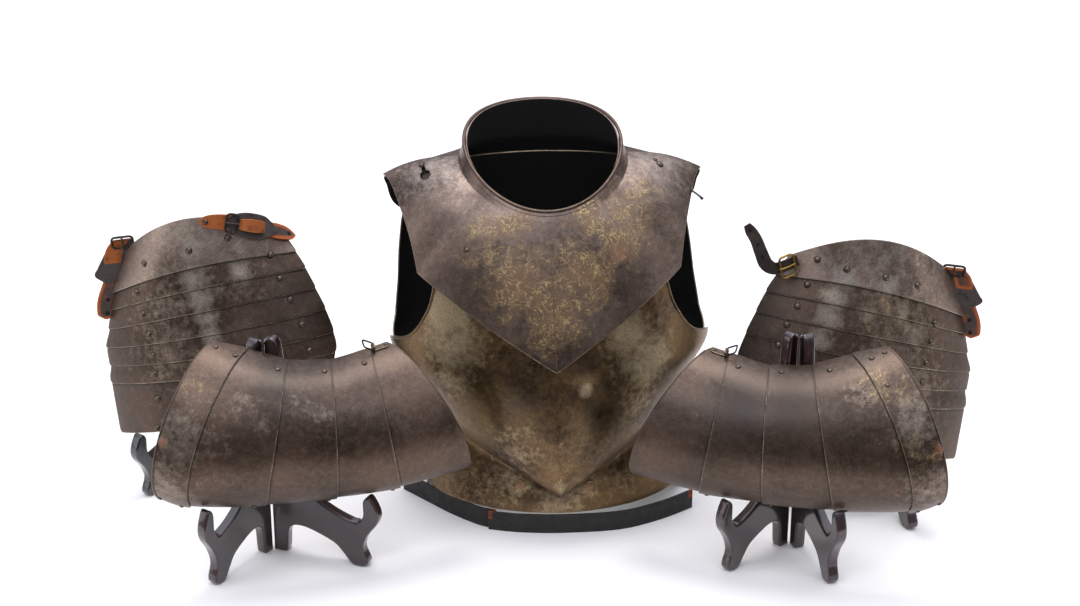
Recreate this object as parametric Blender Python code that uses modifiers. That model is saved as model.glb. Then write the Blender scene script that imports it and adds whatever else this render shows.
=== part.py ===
"""Half-plate armour set out on a table.

Cuirass and gorget stand in the middle, a belt lies round the foot, a pair of
pauldrons rests on two front easels and a pair of tassets on two rear easels.
Metres, +Z up, +X to the viewer's right, +Y away from the viewer. The origin
is on the table, under the middle of the set.
"""
import math

import bmesh
import bpy
from mathutils import Matrix, Vector

# Carries the set from the frame it is drawn in to its own middle.
SET_SHIFT = (0.007, 0.0626, 0.0)

STEEL = 0.0015
LAME_STEEL = 0.0012
LEATHER = 0.0025
GAP = 0.0003

# Cuirass: where its frame stands and how it leans.
BODY_X = 0.016
BODY_LEAN = -0.033
BODY_YAW = math.radians(3.5)

# Each row is one level of the torso, from the floor up:
# height at the ridge, height at the side, half width, depth in front,
# share of the front that comes to a ridge, depth behind.
TORSO = [
    (0.0012, 0.0012, 0.1440, 0.1080, 0.02, 0.105),
    (0.0230, 0.0230, 0.1425, 0.1045, 0.04, 0.102),
    (0.0380, 0.0640, 0.1345, 0.1010, 0.12, 0.096),
    (0.0500, 0.1020, 0.1290, 0.0960, 0.22, 0.090),
    (0.0565, 0.1090, 0.1300, 0.1290, 0.52, 0.091),
    (0.0780, 0.1240, 0.1350, 0.1345, 0.42, 0.094),
    (0.1080, 0.1450, 0.1460, 0.1335, 0.33, 0.099),
    (0.1420, 0.1660, 0.1600, 0.1305, 0.27, 0.105),
    (0.1750, 0.1860, 0.1700, 0.1270, 0.22, 0.109),
    (0.2080, 0.2080, 0.1690, 0.1220, 0.18, 0.111),
    (0.2420, 0.2420, 0.1665, 0.1150, 0.15, 0.110),
    (0.2760, 0.2760, 0.1645, 0.1055, 0.12, 0.106),
    (0.3100, 0.3100, 0.1610, 0.0925, 0.10, 0.099),
    (0.3350, 0.3350, 0.1560, 0.0760, 0.08, 0.089),
    (0.3690, 0.3690, 0.1370, 0.0500, 0.05, 0.0725),
]
BREAST_HEM_ROW = 1
BREAST_TOP_ROW = 12
# Angle from the front, in degrees, at which the breastplate's edge lies at
# each torso row. It turns in from the side seam round the armhole.
BREAST_EDGE = [90, 90, 90, 90, 90, 90, 90, 90, 90, 63, 51, 46.5, 45, 45, 45]
# The same for the backplate, whose sides tuck under the breastplate.
BACK_EDGE = [82, 82, 82, 82, 82, 82, 82, 82, 87, 99, 103, 105, 107, 112, 125]
BACK_INSET = 0.0034

# Gorget: an oval rim that dips in front, a low collar and a cape over the
# shoulders that comes to a point on the breast.
RIM_HALF_WIDTH = 0.081
RIM_HALF_DEPTH = 0.075
RIM_HEIGHT = 0.398
RIM_DIP = 0.034
RIM_SADDLE = -0.007
BASE_FLARE = 1.08
CORNER_ANGLE = 48.0
CORNER_X = 0.1365
CORNER_HEIGHT = 0.2835
TIP_HEIGHT = 0.199
CAPE_LIFT = 0.0035
CAPE_BULGE = 0.0125
CAPE_SHOULDER_BULGE = 0.008
CAPE_RIDGE = 0.0035
CAPE_RIDGE_ANGLE = 24.0
# Outer edge of the cape behind the breast corner: angle round the neck, then
# the point's x, y and z from the middle of the body.
CAPE_EDGE = [
    (60, 0.1435, -0.0400, 0.3220),
    (76, 0.1570, 0.0000, 0.3555),
    (90, 0.1660, 0.0200, 0.3640),
    (106, 0.1655, 0.0340, 0.3500),
    (126, 0.1520, 0.0560, 0.3120),
    (150, 0.0850, 0.1030, 0.2800),
    (180, 0.0000, 0.1180, 0.2680),
]
FRONT_CAPE_ANGLE = 96.0
BACK_CAPE_ANGLE = 64.0
BACK_CAPE_INSET = 0.0023

# Belt along the foot of the cuirass: plan points of its outer face.
BELT_HEIGHT = 0.0222
BELT_FRONT = [
    (-0.055, -0.0990),
    (-0.020, -0.1055),
    (0.026, -0.1065),
    (0.084, -0.0995),
    (0.128, -0.0790),
    (0.165, -0.0520),
]
BELT_SIDE = [
    (-0.150, -0.0120),
    (-0.124, -0.0380),
    (-0.095, -0.0665),
    (-0.066, -0.0892),
    (-0.047, -0.0970),
]

# Pauldron: arcs from its top edge over its crown to its bottom edge, from the
# narrow end to the wide one. Top, crown and bottom points, in millimetres.
PAULDRON_ARCS = [
    (-326, -155, 251, -370, -225, 193, -382, -206, 98),
    (-291, -152, 242, -333, -235, 186, -350, -206, 88),
    (-254, -147, 228, -259, -227, 178, -278, -192, 82),
    (-213, -137, 223, -201, -212, 168, -208, -174, 80),
    (-173, -122, 228, -149, -193, 162, -144, -154, 83),
    (-154, -112, 229, -89, -162, 172, -79, -130, 91),
]
PAULDRON_HALF_ARC = math.radians(80)
PAULDRON_LAP = 0.24
CROWN_STEP = 0.0026
END_STEP = 0.0021
RIGHT_PAULDRON_SHIFT = (0.020, 0.0, -0.006)
# Pivot rivets: how far before the seam, and how far in from the lame's ends.
PIVOT_SETBACK = 0.12
PIVOT_SHARE = 0.06

# Tasset: levels of the plate from its bottom edge to its top edge. Left end
# x and z, right end x and z and how far the level arches, in millimetres.
TASSET_LEVELS = [
    (-108, -124, 124, -70, 2),
    (-119, -68, 136, -19, 2),
    (-120, -48, 134, 4, 2),
    (-124, -28, 125, 29, 3),
    (-121, -7, 114, 52, 7),
    (-119, 15, 103, 74, 10),
    (-117, 34, 92, 92, 15),
    (-101, 85, 78, 113, 34),
]
TASSET_HALF_ARC = math.radians(52)
TASSET_BULGE = 0.047
TASSET_LEAN = math.radians(12)
TASSET_LAP = 0.40
TASSET_STEP = 0.0025
TASSETS = {
    "left": ((-0.357, 0.060, 0.160), math.radians(-7), False),
    "right": ((0.343, 0.000, 0.160), math.radians(7), True),
}

# Straps of the tassets, read on the plate: place across it and level, from
# the fixed end to the tip, then the strap's width and the lift of its outer
# face there, in millimetres.
SIDE_STRAP = [
    (0.020, 6.93, 15, 4.6), (-0.005, 6.82, 26, 6.2), (-0.025, 6.50, 28, 6.6),
    (-0.035, 6.15, 21, 5.6), (-0.045, 5.70, 19, 5.2), (-0.050, 5.25, 19, 5.3),
    (-0.050, 4.90, 17, 5.5), (-0.050, 4.68, 8, 5.5),
]
TOP_STRAP = [
    (0.540, 6.95, 12, 1.4), (0.610, 6.95, 17, 1.4), (0.680, 6.95, 18, 1.4),
    (0.730, 6.95, 23, 1.5), (0.840, 6.93, 23, 1.6), (0.920, 6.90, 17, 1.9),
    (0.990, 6.86, 15, 2.6), (1.045, 6.80, 7, 2.8),
]
# The right tasset's top strap is flipped up: x, y, z and width of its run
# from the plate over the bend to the tip, in millimetres.
FLIPPED_STRAP = [
    (272, -4, 272, 12), (260, -9, 268, 13), (247, -14, 266, 14), (237, -18, 273, 15),
    (231, -16, 286, 14), (226, -12, 298, 13), (220, -8, 307, 12), (216, -6, 313, 7),
]
STRAP_LEATHER = 0.0018
BUCKLE_WIRE = 0.0013
BUCKLE_WIDTH = 0.026
BUCKLE_LENGTH = 0.018

# Tab and wire loop on the top edge of a pauldron's widest lame.
TAB_WIDTH = 0.008
TAB_ROOT = 4.80
TAB_END = 4.12
TAB_SHARE = 0.975
TAB_GAP = 0.0002
TAB_STEEL = 0.0012
CURL_RADIUS = 0.0029
LOOP_WIRE = 0.0009
LOOP_WIDTH = 0.0135
LOOP_LENGTH = 0.014
LOOP_RISE = math.radians(35)

# Keyhole of the gorget's front plate and the stud of the back plate in it.
STUD_ANGLE = -76.0
STUD_REACH = 1.50
STUD_RADIUS = 0.0022
STUD_HEIGHT = 0.0085
KEYHOLE_RADIUS = 0.0042

# Easel board: reach forward from the hinge edge and height, in millimetres.
EASEL_BOARD = [
    (0, 2), (3, 0), (11, 0), (15, 4), (17, 28), (22, 36), (31, 38), (44, 35),
    (66, 25), (76, 14), (84, 3), (91, 0), (100, 2), (103, 9), (98, 25),
    (103, 42), (114, 60), (115, 74), (108, 90), (103, 91), (99, 84),
    (99, 68), (95, 59), (88, 57), (64, 67), (44, 84), (30, 112), (22, 160),
    (17, 215), (14, 240), (8, 247), (2, 243), (0, 232),
]
EASEL_THICKNESS = 0.012
EASEL_LOW = 100.0
# Each easel: hinge line x and y, then for each board its bearing in degrees
# and the scales of its reach and of its arm's and hook's height.
EASELS = {
    "easel_front_left": (-0.279, -0.140, (236, 0.88, 0.98), (339, 1.05, 0.91)),
    "easel_front_right": (0.262, -0.128, (222, 0.88, 0.93), (291, 0.88, 0.96)),
    "easel_rear_left": (-0.366, 0.045, (232, 0.95, 0.85), (308, 0.95, 0.97)),
    "easel_rear_right": (0.352, -0.0145, (232, 0.95, 0.97), (294, 0.95, 0.85)),
}


def clear_scene():
    for item in list(bpy.data.objects):
        bpy.data.objects.remove(item, do_unlink=True)


def make_material(name, colour, metallic, roughness):
    material = bpy.data.materials.new(name)
    material.use_nodes = True
    shader = material.node_tree.nodes["Principled BSDF"]
    shader.inputs["Base Color"].default_value = (*colour, 1.0)
    shader.inputs["Metallic"].default_value = metallic
    shader.inputs["Roughness"].default_value = roughness
    return material


def add_object(name, data, material, collection):
    piece = bpy.data.objects.new(name, data)
    data.materials.append(material)
    collection.objects.link(piece)
    return piece


def through(rows, at):
    """Read a smooth curve through the rows at a fractional row number."""
    last = len(rows) - 1
    at = min(max(at, 0.0), float(last))
    start = min(int(at), last - 1)
    part = at - start
    before = rows[max(start - 1, 0)]
    here = rows[start]
    there = rows[start + 1]
    after = rows[min(start + 2, last)]
    values = []
    for a, b, c, d in zip(before, here, there, after):
        cubic = 2 * b + (c - a) * part
        cubic += (2 * a - 5 * b + 4 * c - d) * part ** 2
        cubic += (3 * b - a - 3 * c + d) * part ** 3
        values.append(cubic / 2)
    return values


def between(rows, at):
    """Read straight lines between the rows at a fractional row number."""
    last = len(rows) - 1
    at = min(max(at, 0.0), float(last))
    start = min(int(at), last - 1)
    part = at - start
    return rows[start] * (1 - part) + rows[start + 1] * part


def inset(surface, depth):
    """Move a surface inwards, against its normal, by depth(s, t)."""
    step = 0.004

    def moved(s, t):
        s0, s1 = max(s - step, 0.0), min(s + step, 1.0)
        t0, t1 = max(t - step, 0.0), min(t + step, 1.0)
        run = surface(s1, t) - surface(s0, t)
        rise = surface(s, t1) - surface(s, t0)
        return surface(s, t) - run.cross(rise).normalized() * depth(s, t)

    return moved


def plate(name, surface, across, along, thickness, material, collection):
    """Sheet whose outer face follows surface(s, t), thickened inwards."""
    form = bmesh.new()
    bmesh.ops.create_grid(form, x_segments=across, y_segments=along, size=0.5)
    for vertex in form.verts:
        vertex.co = surface(vertex.co.x + 0.5, vertex.co.y + 0.5)
    mesh = bpy.data.meshes.new(name)
    form.to_mesh(mesh)
    form.free()
    mesh.shade_smooth()
    piece = add_object(name, mesh, material, collection)
    solid = piece.modifiers.new("thickness", "SOLIDIFY")
    solid.thickness = thickness
    solid.offset = -1.0
    flat = piece.modifiers.new("flat faces", "TRIANGULATE")
    flat.quad_method = "FIXED"
    return piece


def wire(name, points, radius, closed, material, collection):
    curve = bpy.data.curves.new(name, "CURVE")
    curve.dimensions = "3D"
    curve.bevel_depth = radius
    curve.bevel_resolution = 2
    curve.use_fill_caps = not closed
    line = curve.splines.new("POLY")
    line.points.add(len(points) - 1)
    for knot, point in zip(line.points, points):
        knot.co = (*point, 1.0)
    line.use_cyclic_u = closed
    return add_object(name, curve, material, collection)


def body_place(x, y, z):
    """Stand a point of the body's own frame on the table."""
    c, s = math.cos(BODY_YAW), math.sin(BODY_YAW)
    return Vector((x * c - y * s + BODY_X + BODY_LEAN * z, x * s + y * c, z))


def torso_own(angle, row):
    """Torso point in the body's own frame, angle 0 being its front."""
    ridge_z, side_z, width, front, ridge, back = through(TORSO, row)
    s, c = math.sin(math.radians(angle)), math.cos(math.radians(angle))
    if c < 0:
        return width * s, -back * c, side_z
    y = -front * ((1 - ridge) * c + ridge * (1 - abs(s)))
    return width * s, y, ridge_z + (side_z - ridge_z) * abs(s)


def torso_depth(x, z):
    """How far back the torso's front lies at a place seen from the front."""
    low, high = float(BREAST_HEM_ROW), float(len(TORSO) - 1)
    for _ in range(30):
        row = (low + high) / 2
        width = through(TORSO, row)[2]
        angle = math.degrees(math.asin(min(abs(x) / width, 1.0)))
        point = torso_own(angle, row)
        if point[2] < z:
            low = row
        else:
            high = row
    return point[1]


def breast_surface(s, t):
    row = BREAST_HEM_ROW + (BREAST_TOP_ROW - BREAST_HEM_ROW) * t
    edge = min(through([(value,) for value in BREAST_EDGE], row)[0], max(BREAST_EDGE))
    return body_place(*torso_own(edge * (2 * s - 1), row))


def back_surface(s, t):
    row = (len(TORSO) - 1) * t
    edge = between(BACK_EDGE, row)
    return body_place(*torso_own(edge + (360 - 2 * edge) * s, row))


def cape_edge(angle):
    """Outer edge of the gorget's cape at an angle round the neck."""
    turn = abs(angle)
    side = math.copysign(1.0, angle)
    if turn <= CORNER_ANGLE:
        share = turn / CORNER_ANGLE
        x = CORNER_X * share
        z = TIP_HEIGHT + (CORNER_HEIGHT - TIP_HEIGHT) * share
        return Vector((side * x, torso_depth(x, z) - CAPE_LIFT, z))
    y = torso_depth(CORNER_X, CORNER_HEIGHT) - CAPE_LIFT
    rows = [(CORNER_ANGLE, CORNER_X, y, CORNER_HEIGHT)] + CAPE_EDGE
    index = 0
    while index < len(rows) - 2 and rows[index + 1][0] < turn:
        index += 1
    part = (turn - rows[index][0]) / (rows[index + 1][0] - rows[index][0])
    _angle, x, y, z = through(rows, index + part)
    return Vector((side * x, y, z))


def cape_own(angle, reach):
    """Gorget point: reach 0 at the rim, 1 at the collar's foot, 2 outside."""
    s, c = math.sin(math.radians(angle)), math.cos(math.radians(angle))
    rim_z = RIM_HEIGHT - RIM_DIP * c + RIM_SADDLE * math.cos(math.radians(2 * angle))
    rim = Vector((RIM_HALF_WIDTH * s, -RIM_HALF_DEPTH * c, rim_z))
    collar = 0.026 - 0.018 * c - 0.006 * s * s
    foot = Vector((rim.x * BASE_FLARE, rim.y * BASE_FLARE, rim_z - collar))
    if reach <= 1:
        return rim.lerp(foot, reach)
    edge = cape_edge((angle + 180) % 360 - 180)
    outward = Vector((0.3 * s, -c, abs(s))).normalized()
    bulge = CAPE_BULGE + CAPE_SHOULDER_BULGE * (2 * s * c) ** 2
    middle = (foot + edge) / 2 + outward * bulge
    share = reach - 1
    first = foot.lerp(middle, share)
    point = first.lerp(middle.lerp(edge, share), share)
    crease = max(0.0, 1 - abs(angle) / CAPE_RIDGE_ANGLE)
    point.y -= CAPE_RIDGE * crease * 4 * share * (1 - share)
    return point


def cape_surface(start, end):
    collar_share = 0.2

    def surface(s, t):
        angle = start + (end - start) * s
        down = 1 - t
        if down <= collar_share:
            reach = down / collar_share
        else:
            reach = 1 + (down - collar_share) / (1 - collar_share)
        return body_place(*cape_own(angle, reach))

    return surface


def belt_surface(points):
    def surface(s, t):
        x, y = through(points, s * (len(points) - 1))
        return Vector((x, y, BELT_HEIGHT * t))

    return surface


def arc_point(top, crown, bottom, half_arc, share):
    """Point of the arc from bottom (share 0) over the crown to top (1)."""
    turn = half_arc * (2 * share - 1)
    middle = (top + bottom) / 2
    swing = math.sin(turn) / math.sin(half_arc)
    lift = (math.cos(turn) - math.cos(half_arc)) / (1 - math.cos(half_arc))
    return middle + (top - bottom) / 2 * swing + (crown - middle) * lift


def pauldron_point(side, at, share):
    """Pauldron's master surface at arc number at, share 0 at the bottom."""
    row = [value / 1000 for value in through(PAULDRON_ARCS, at)]
    top, crown, bottom = Vector(row[0:3]), Vector(row[3:6]), Vector(row[6:9])
    point = arc_point(top, crown, bottom, PAULDRON_HALF_ARC, share)
    if side == "right":
        point.x = -point.x
        point += Vector(RIGHT_PAULDRON_SHIFT)
    return point


def pauldron_lame(side, number):
    """Surface of one lame; lame 1 is outermost and laps over lame 2."""
    start = number - 1 - (PAULDRON_LAP if number > 1 else 0)
    length = number - start

    def place(s):
        along = s if side == "left" else 1 - s
        return start + length * along

    def depth(s, t):
        if number == 1:
            return 0.0
        step = END_STEP + (CROWN_STEP - END_STEP) * math.sin(math.pi * t)
        return step * (number - place(s)) / length

    return inset(lambda s, t: pauldron_point(side, place(s), t), depth)


def tasset_point(side, across, level):
    """Tasset's master surface: across 0 to 1 and a level of the table."""
    origin, yaw, mirrored = TASSETS[side]
    reading = through(TASSET_LEVELS, level)
    left_x, left_z, right_x, right_z, arch = [value / 1000 for value in reading]
    if mirrored:
        across = 1 - across
    turn = TASSET_HALF_ARC * (2 * across - 1)
    share = 0.5 + 0.5 * math.sin(turn) / math.sin(TASSET_HALF_ARC)
    lift = math.cos(turn) - math.cos(TASSET_HALF_ARC)
    lift /= 1 - math.cos(TASSET_HALF_ARC)
    x = left_x + (right_x - left_x) * share
    z = left_z + (right_z - left_z) * share + arch * 4 * share * (1 - share)
    y = -TASSET_BULGE * lift
    if mirrored:
        x = -x
    leant = Matrix.Rotation(-TASSET_LEAN, 3, "X") @ Vector((x, y, z))
    return Vector(origin) + Matrix.Rotation(yaw, 3, "Z") @ leant


def tasset_lame(side, number):
    """Surface of one lame; lame 1 is the lowest and laps over lame 2."""
    last = len(TASSET_LEVELS) - 1
    start = number - 1
    end = min(number + (TASSET_LAP if number < last else 0), last)

    def depth(s, t):
        level = start + (end - start) * t
        return TASSET_STEP * (level - start) / (1 + TASSET_LAP)

    def surface(s, t):
        return tasset_point(side, s, start + (end - start) * t)

    return inset(surface, depth)


def smooth_path(points, size=3):
    rows = [tuple(point)[:size] for point in points]
    return lambda t: Vector(through(rows, t * (len(rows) - 1)))


def plate_frame(surface, s, t):
    """Point of a surface with its unit directions along, up and outwards."""
    step = 0.01
    run = (surface(s + step, t) - surface(s - step, t)).normalized()
    rise = (surface(s, t + step) - surface(s, t - step)).normalized()
    outward = run.cross(rise).normalized()
    return surface(s, t), run, outward.cross(run).normalized(), outward


def tasset_frame(side, across, level):
    last = len(TASSET_LEVELS) - 1
    level = min(level, last - 0.02 * last)
    mirrored = TASSETS[side][2]
    along = 1 - across if mirrored else across
    return plate_frame(lambda s, t: tasset_point(side, s, t * last), along, level / last)


def laid_strap(side, rows, upright):
    """Strap laid on a tasset, its width level or, if upright, up the plate."""
    reading = smooth_path(rows, 4)

    def surface(s, t):
        across, level, width, lift = reading(t)
        point, run, rise, outward = tasset_frame(side, across, level)
        wide = rise if upright else (run * 0.6 + Vector((0.4, 0.0, 0.0))).normalized()
        point += outward * lift / 1000
        return point + wide * (width / 1000) * (0.5 - s)

    return surface


def flipped_strap(s, t):
    """Strap that stands up in front of the viewer, its flat side to them."""
    reading = smooth_path(FLIPPED_STRAP, 4)
    x, _y, z, width = reading(t)
    step = 0.01
    along = reading(min(t + step, 1.0)) - reading(max(t - step, 0.0))
    along = Vector(along[0:3]).normalized()
    wide = along.cross(Vector((0.0, -1.0, 0.0))).normalized()
    return Vector((x, reading(t)[1], z)) / 1000 + wide * (width / 1000) * (s - 0.5)


def buckle(name, strap, at, clearance, material, collection):
    """Wire frame that lies on a strap's face at a share of its length."""
    point, wide, long, outward = plate_frame(strap, 0.5, at)
    centre = point + outward * (BUCKLE_WIRE + clearance)
    ring = ring_points(centre, wide, long, BUCKLE_WIDTH, BUCKLE_LENGTH)
    return wire(name, ring, BUCKLE_WIRE, True, material, collection)


def ring_points(centre, wide, long, width, length):
    """Corners of a rectangular wire ring, each rounded by two points."""
    cut = 0.18
    points = []
    for a, b in ((-1, -1), (1, -1), (1, 1), (-1, 1)):
        first = (a, b * (1 - cut)) if a * b > 0 else (a * (1 - cut), b)
        second = (a * (1 - cut), b) if a * b > 0 else (a, b * (1 - cut))
        for x, y in (first, second):
            points.append(centre + wide * x * width / 2 + long * y * length / 2)
    return points


def tab_frame(side):
    """End of a pauldron's tab: place and directions outward, on and across."""
    def lift(at):
        here = pauldron_point(side, at, TAB_SHARE)
        on = (pauldron_point(side, at - 0.05, TAB_SHARE) - here).normalized()
        wide = (pauldron_point(side, at, TAB_SHARE - 0.02) - here).normalized()
        out = on.cross(wide).normalized()
        if out.z < 0:
            out = -out
        sunk = END_STEP * (len(PAULDRON_ARCS) - 1 - at) / (1 + PAULDRON_LAP)
        return here + out * (TAB_GAP - sunk), on, wide, out

    return lift


def tab_surface(side):
    """Tab whose end curls round the wire of its loop."""
    lift = tab_frame(side)
    end, on, wide, out = lift(TAB_END)
    centre = end + out * CURL_RADIUS
    path = [lift(TAB_ROOT + (TAB_END - TAB_ROOT) * k / 4)[0] for k in range(5)]
    for k in range(1, 9):
        turn = math.radians(25 * k)
        path.append(centre + (on * math.sin(turn) - out * math.cos(turn)) * CURL_RADIUS)
    reading = smooth_path(path)
    across = wide * (1 if side == "left" else -1)

    def surface(s, t):
        return reading(t) + across * TAB_WIDTH * (s - 0.5)

    return surface, centre, on, wide, out, len(path) - 1


def upright_cylinder(name, centre, axis, radius, length, material, collection):
    bpy.ops.mesh.primitive_cylinder_add(vertices=16, radius=radius, depth=length)
    piece = bpy.context.active_object
    piece.name = name
    piece.data.name = name
    for old in list(piece.users_collection):
        old.objects.unlink(piece)
    collection.objects.link(piece)
    if material:
        piece.data.materials.append(material)
    piece.matrix_world = Matrix.Translation(centre) @ axis.to_track_quat("Z", "Y").to_matrix().to_4x4()
    return piece


def cut_keyhole(front, back_surface_point, outward, cutters):
    hole = upright_cylinder(
        "keyhole_cutter", back_surface_point, outward, KEYHOLE_RADIUS, 0.02, None, cutters)
    hole.hide_render = True
    hole.display_type = "WIRE"
    cut = front.modifiers.new("keyhole", "BOOLEAN")
    cut.operation = "DIFFERENCE"
    cut.solver = "EXACT"
    cut.object = hole


def easel_board(name, hinge, shape, side, material, collection):
    """One board of a folding easel, standing on its foot and hinge edge."""
    bearing, reach, low = shape
    curve = bpy.data.curves.new(name, "CURVE")
    curve.dimensions = "2D"
    curve.fill_mode = "BOTH"
    curve.extrude = EASEL_THICKNESS / 2
    line = curve.splines.new("POLY")
    line.points.add(len(EASEL_BOARD) - 1)
    for knot, (forward, height) in zip(line.points, EASEL_BOARD):
        if height < EASEL_LOW:
            height *= low
        knot.co = (forward * reach / 1000, height / 1000, 0.0, 1.0)
    line.use_cyclic_u = True
    board = add_object(name, curve, material, collection)
    turn = math.radians(bearing)
    forward = Vector((math.cos(turn), math.sin(turn), 0.0))
    sideways = Vector((-forward.y, forward.x, 0.0))
    start = Vector((*hinge, 0.0))
    start += sideways * side * (EASEL_THICKNESS / 2 + GAP)
    frame = Matrix.Identity(4)
    frame.col[0] = (*forward, 0.0)
    frame.col[1] = (0.0, 0.0, 1.0, 0.0)
    frame.col[2] = (*forward.cross(Vector((0, 0, 1))), 0.0)
    frame.col[3] = (*start, 1.0)
    board.matrix_world = frame
    return board


def pivot(name, place, pieces, collection):
    """Empty on a joint's axis that carries the pieces which turn about it."""
    axis = bpy.data.objects.new(name, None)
    axis.location = place
    collection.objects.link(axis)
    for piece in pieces:
        piece.parent = axis
        piece.matrix_parent_inverse = Matrix.Translation(place).inverted()
    return axis


def seam_middle(side, seam):
    """Middle of the line through a seam's two pivot rivets."""
    at = seam - PIVOT_SETBACK
    low = pauldron_point(side, at, PIVOT_SHARE)
    return (low + pauldron_point(side, at, 1 - PIVOT_SHARE)) / 2


def hang_pauldron(side, loop_centre, armour):
    """Middle lame stays in the easel; its neighbours turn at their rivets."""
    piece = bpy.data.objects
    stem = f"pauldron_{side}_"
    loop = pivot(stem + "pivot_loop", loop_centre, [piece[stem + "loop"]], armour)
    outer = pivot(
        stem + "pivot_1", seam_middle(side, 1), [piece[stem + "lame_1"]], armour)
    pivot(stem + "pivot_2", seam_middle(side, 2), [piece[stem + "lame_2"], outer], armour)
    inner = pivot(
        stem + "pivot_4", seam_middle(side, 4),
        [piece[stem + "lame_5"], piece[stem + "tab"], loop], armour)
    pivot(stem + "pivot_3", seam_middle(side, 3), [piece[stem + "lame_4"], inner], armour)


def centre_set(collections):
    """Carry the whole set so that its middle stands over the origin."""
    stand = bpy.data.objects.new("set_middle", None)
    collections[0].objects.link(stand)
    for collection in collections:
        for item in collection.objects:
            if item.parent is None and item is not stand:
                item.parent = stand
    stand.location = SET_SHIFT


def main():
    clear_scene()
    armour = bpy.data.collections.new("half_plate_armour")
    cutters = bpy.data.collections.new("cutters")
    bpy.context.scene.collection.children.link(armour)
    bpy.context.scene.collection.children.link(cutters)

    steel = make_material("dark_steel", (0.105, 0.09, 0.082), 0.9, 0.42)
    breast_steel = make_material("breast_steel", (0.15, 0.125, 0.095), 0.9, 0.38)
    black_leather = make_material("black_leather", (0.025, 0.025, 0.027), 0.0, 0.5)
    tan_leather = make_material("tan_leather", (0.42, 0.14, 0.03), 0.0, 0.6)
    iron = make_material("buckle_iron", (0.05, 0.045, 0.04), 0.9, 0.4)
    brass = make_material("brass", (0.55, 0.36, 0.12), 1.0, 0.35)
    cherry = make_material("cherry_wood", (0.06, 0.018, 0.018), 0.0, 0.25)
    black_wood = make_material("black_wood", (0.012, 0.011, 0.012), 0.0, 0.2)

    plate("breastplate", breast_surface, 16, 22, STEEL, breast_steel, armour)
    back = inset(back_surface, lambda s, t: BACK_INSET)
    plate("backplate", back, 18, 28, STEEL, breast_steel, armour)

    front = cape_surface(-FRONT_CAPE_ANGLE, FRONT_CAPE_ANGLE)
    front_plate = plate("gorget_front", front, 24, 10, STEEL, steel, armour)
    behind = cape_surface(BACK_CAPE_ANGLE, 360 - BACK_CAPE_ANGLE)
    behind = inset(behind, lambda s, t: BACK_CAPE_INSET)
    plate("gorget_back", behind, 29, 10, STEEL, steel, armour)

    foot = body_place(*cape_own(STUD_ANGLE, STUD_REACH))
    ahead = body_place(*cape_own(STUD_ANGLE + 2, STUD_REACH)) - foot
    beyond = body_place(*cape_own(STUD_ANGLE, STUD_REACH - 0.05)) - foot
    outward = ahead.cross(beyond).normalized()
    cut_keyhole(front_plate, foot, outward, cutters)
    stud_start = foot - outward * (BACK_CAPE_INSET - GAP)
    stud_middle = stud_start + outward * STUD_HEIGHT / 2
    upright_cylinder(
        "gorget_stud", stud_middle, outward, STUD_RADIUS, STUD_HEIGHT, iron, armour)

    belt = belt_surface(BELT_FRONT)
    plate("belt_front", belt, 20, 1, LEATHER, black_leather, armour)
    belt = belt_surface(BELT_SIDE)
    plate("belt_side", belt, 12, 1, LEATHER, black_leather, armour)

    for side in ("left", "right"):
        for number in range(1, len(PAULDRON_ARCS)):
            name = f"pauldron_{side}_lame_{number}"
            lame = pauldron_lame(side, number)
            plate(name, lame, 4, 12, LAME_STEEL, steel, armour)
        for number in range(1, len(TASSET_LEVELS)):
            name = f"tasset_{side}_lame_{number}"
            lame = tasset_lame(side, number)
            plate(name, lame, 12, 3, LAME_STEEL, steel, armour)

        tab, centre, on, wide, out, bends = tab_surface(side)
        tab_name = f"pauldron_{side}_tab"
        plate(tab_name, tab, 1, 2 * bends, TAB_STEEL, tan_leather, armour)
        reach = on * math.cos(LOOP_RISE) + out * math.sin(LOOP_RISE)
        middle = centre + reach * LOOP_LENGTH / 2
        ring = ring_points(middle, wide, reach, LOOP_WIDTH, LOOP_LENGTH)
        wire(f"pauldron_{side}_loop", ring, LOOP_WIRE, True, iron, armour)
        hang_pauldron(side, centre, armour)

        strap = laid_strap(side, SIDE_STRAP, False)
        name = f"tasset_{side}_side_strap"
        plate(name, strap, 2, 11, STRAP_LEATHER, tan_leather, armour)
        buckle(f"tasset_{side}_side_buckle", strap, 0.3, 0.0007, iron, armour)

    strap = laid_strap("left", TOP_STRAP, True)
    plate("tasset_left_top_strap", strap, 2, 11, STRAP_LEATHER, tan_leather, armour)
    buckle("tasset_left_top_buckle", strap, 0.3, 0.0005, iron, armour)
    name = "tasset_right_top_strap"
    plate(name, flipped_strap, 2, 14, STRAP_LEATHER, tan_leather, armour)
    buckle("tasset_right_top_buckle", flipped_strap, 0.15, 0.0013, brass, armour)

    for name, (x, y, first, second) in EASELS.items():
        wood = black_wood if name == "easel_rear_left" else cherry
        easel_board(name + "_a", (x, y), first, -1, wood, armour)
        easel_board(name + "_b", (x, y), second, 1, wood, armour)

    centre_set([armour, cutters])


main()
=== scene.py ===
# %% [markdown]
# # Half-plate armour on display easels
# The set is a cuirass with its gorget and belt, a pair of shoulder defences
# (pauldrons) and a pair of thigh defences (tassets), these on easels. Each
# plate is hammered sheet steel with a dark brown skin of old oxide. The measured
# solids come from the shared frame. This lesson rebuilds each plate on the same
# surface with a finer mesh, then adds what a photograph shows beyond it: turned
# edges, rivets, dents, wear, patina, leather and lacquer.

# %% the shared frame
import math

import bmesh
import bpy
from mathutils import Matrix, Vector, noise


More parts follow.
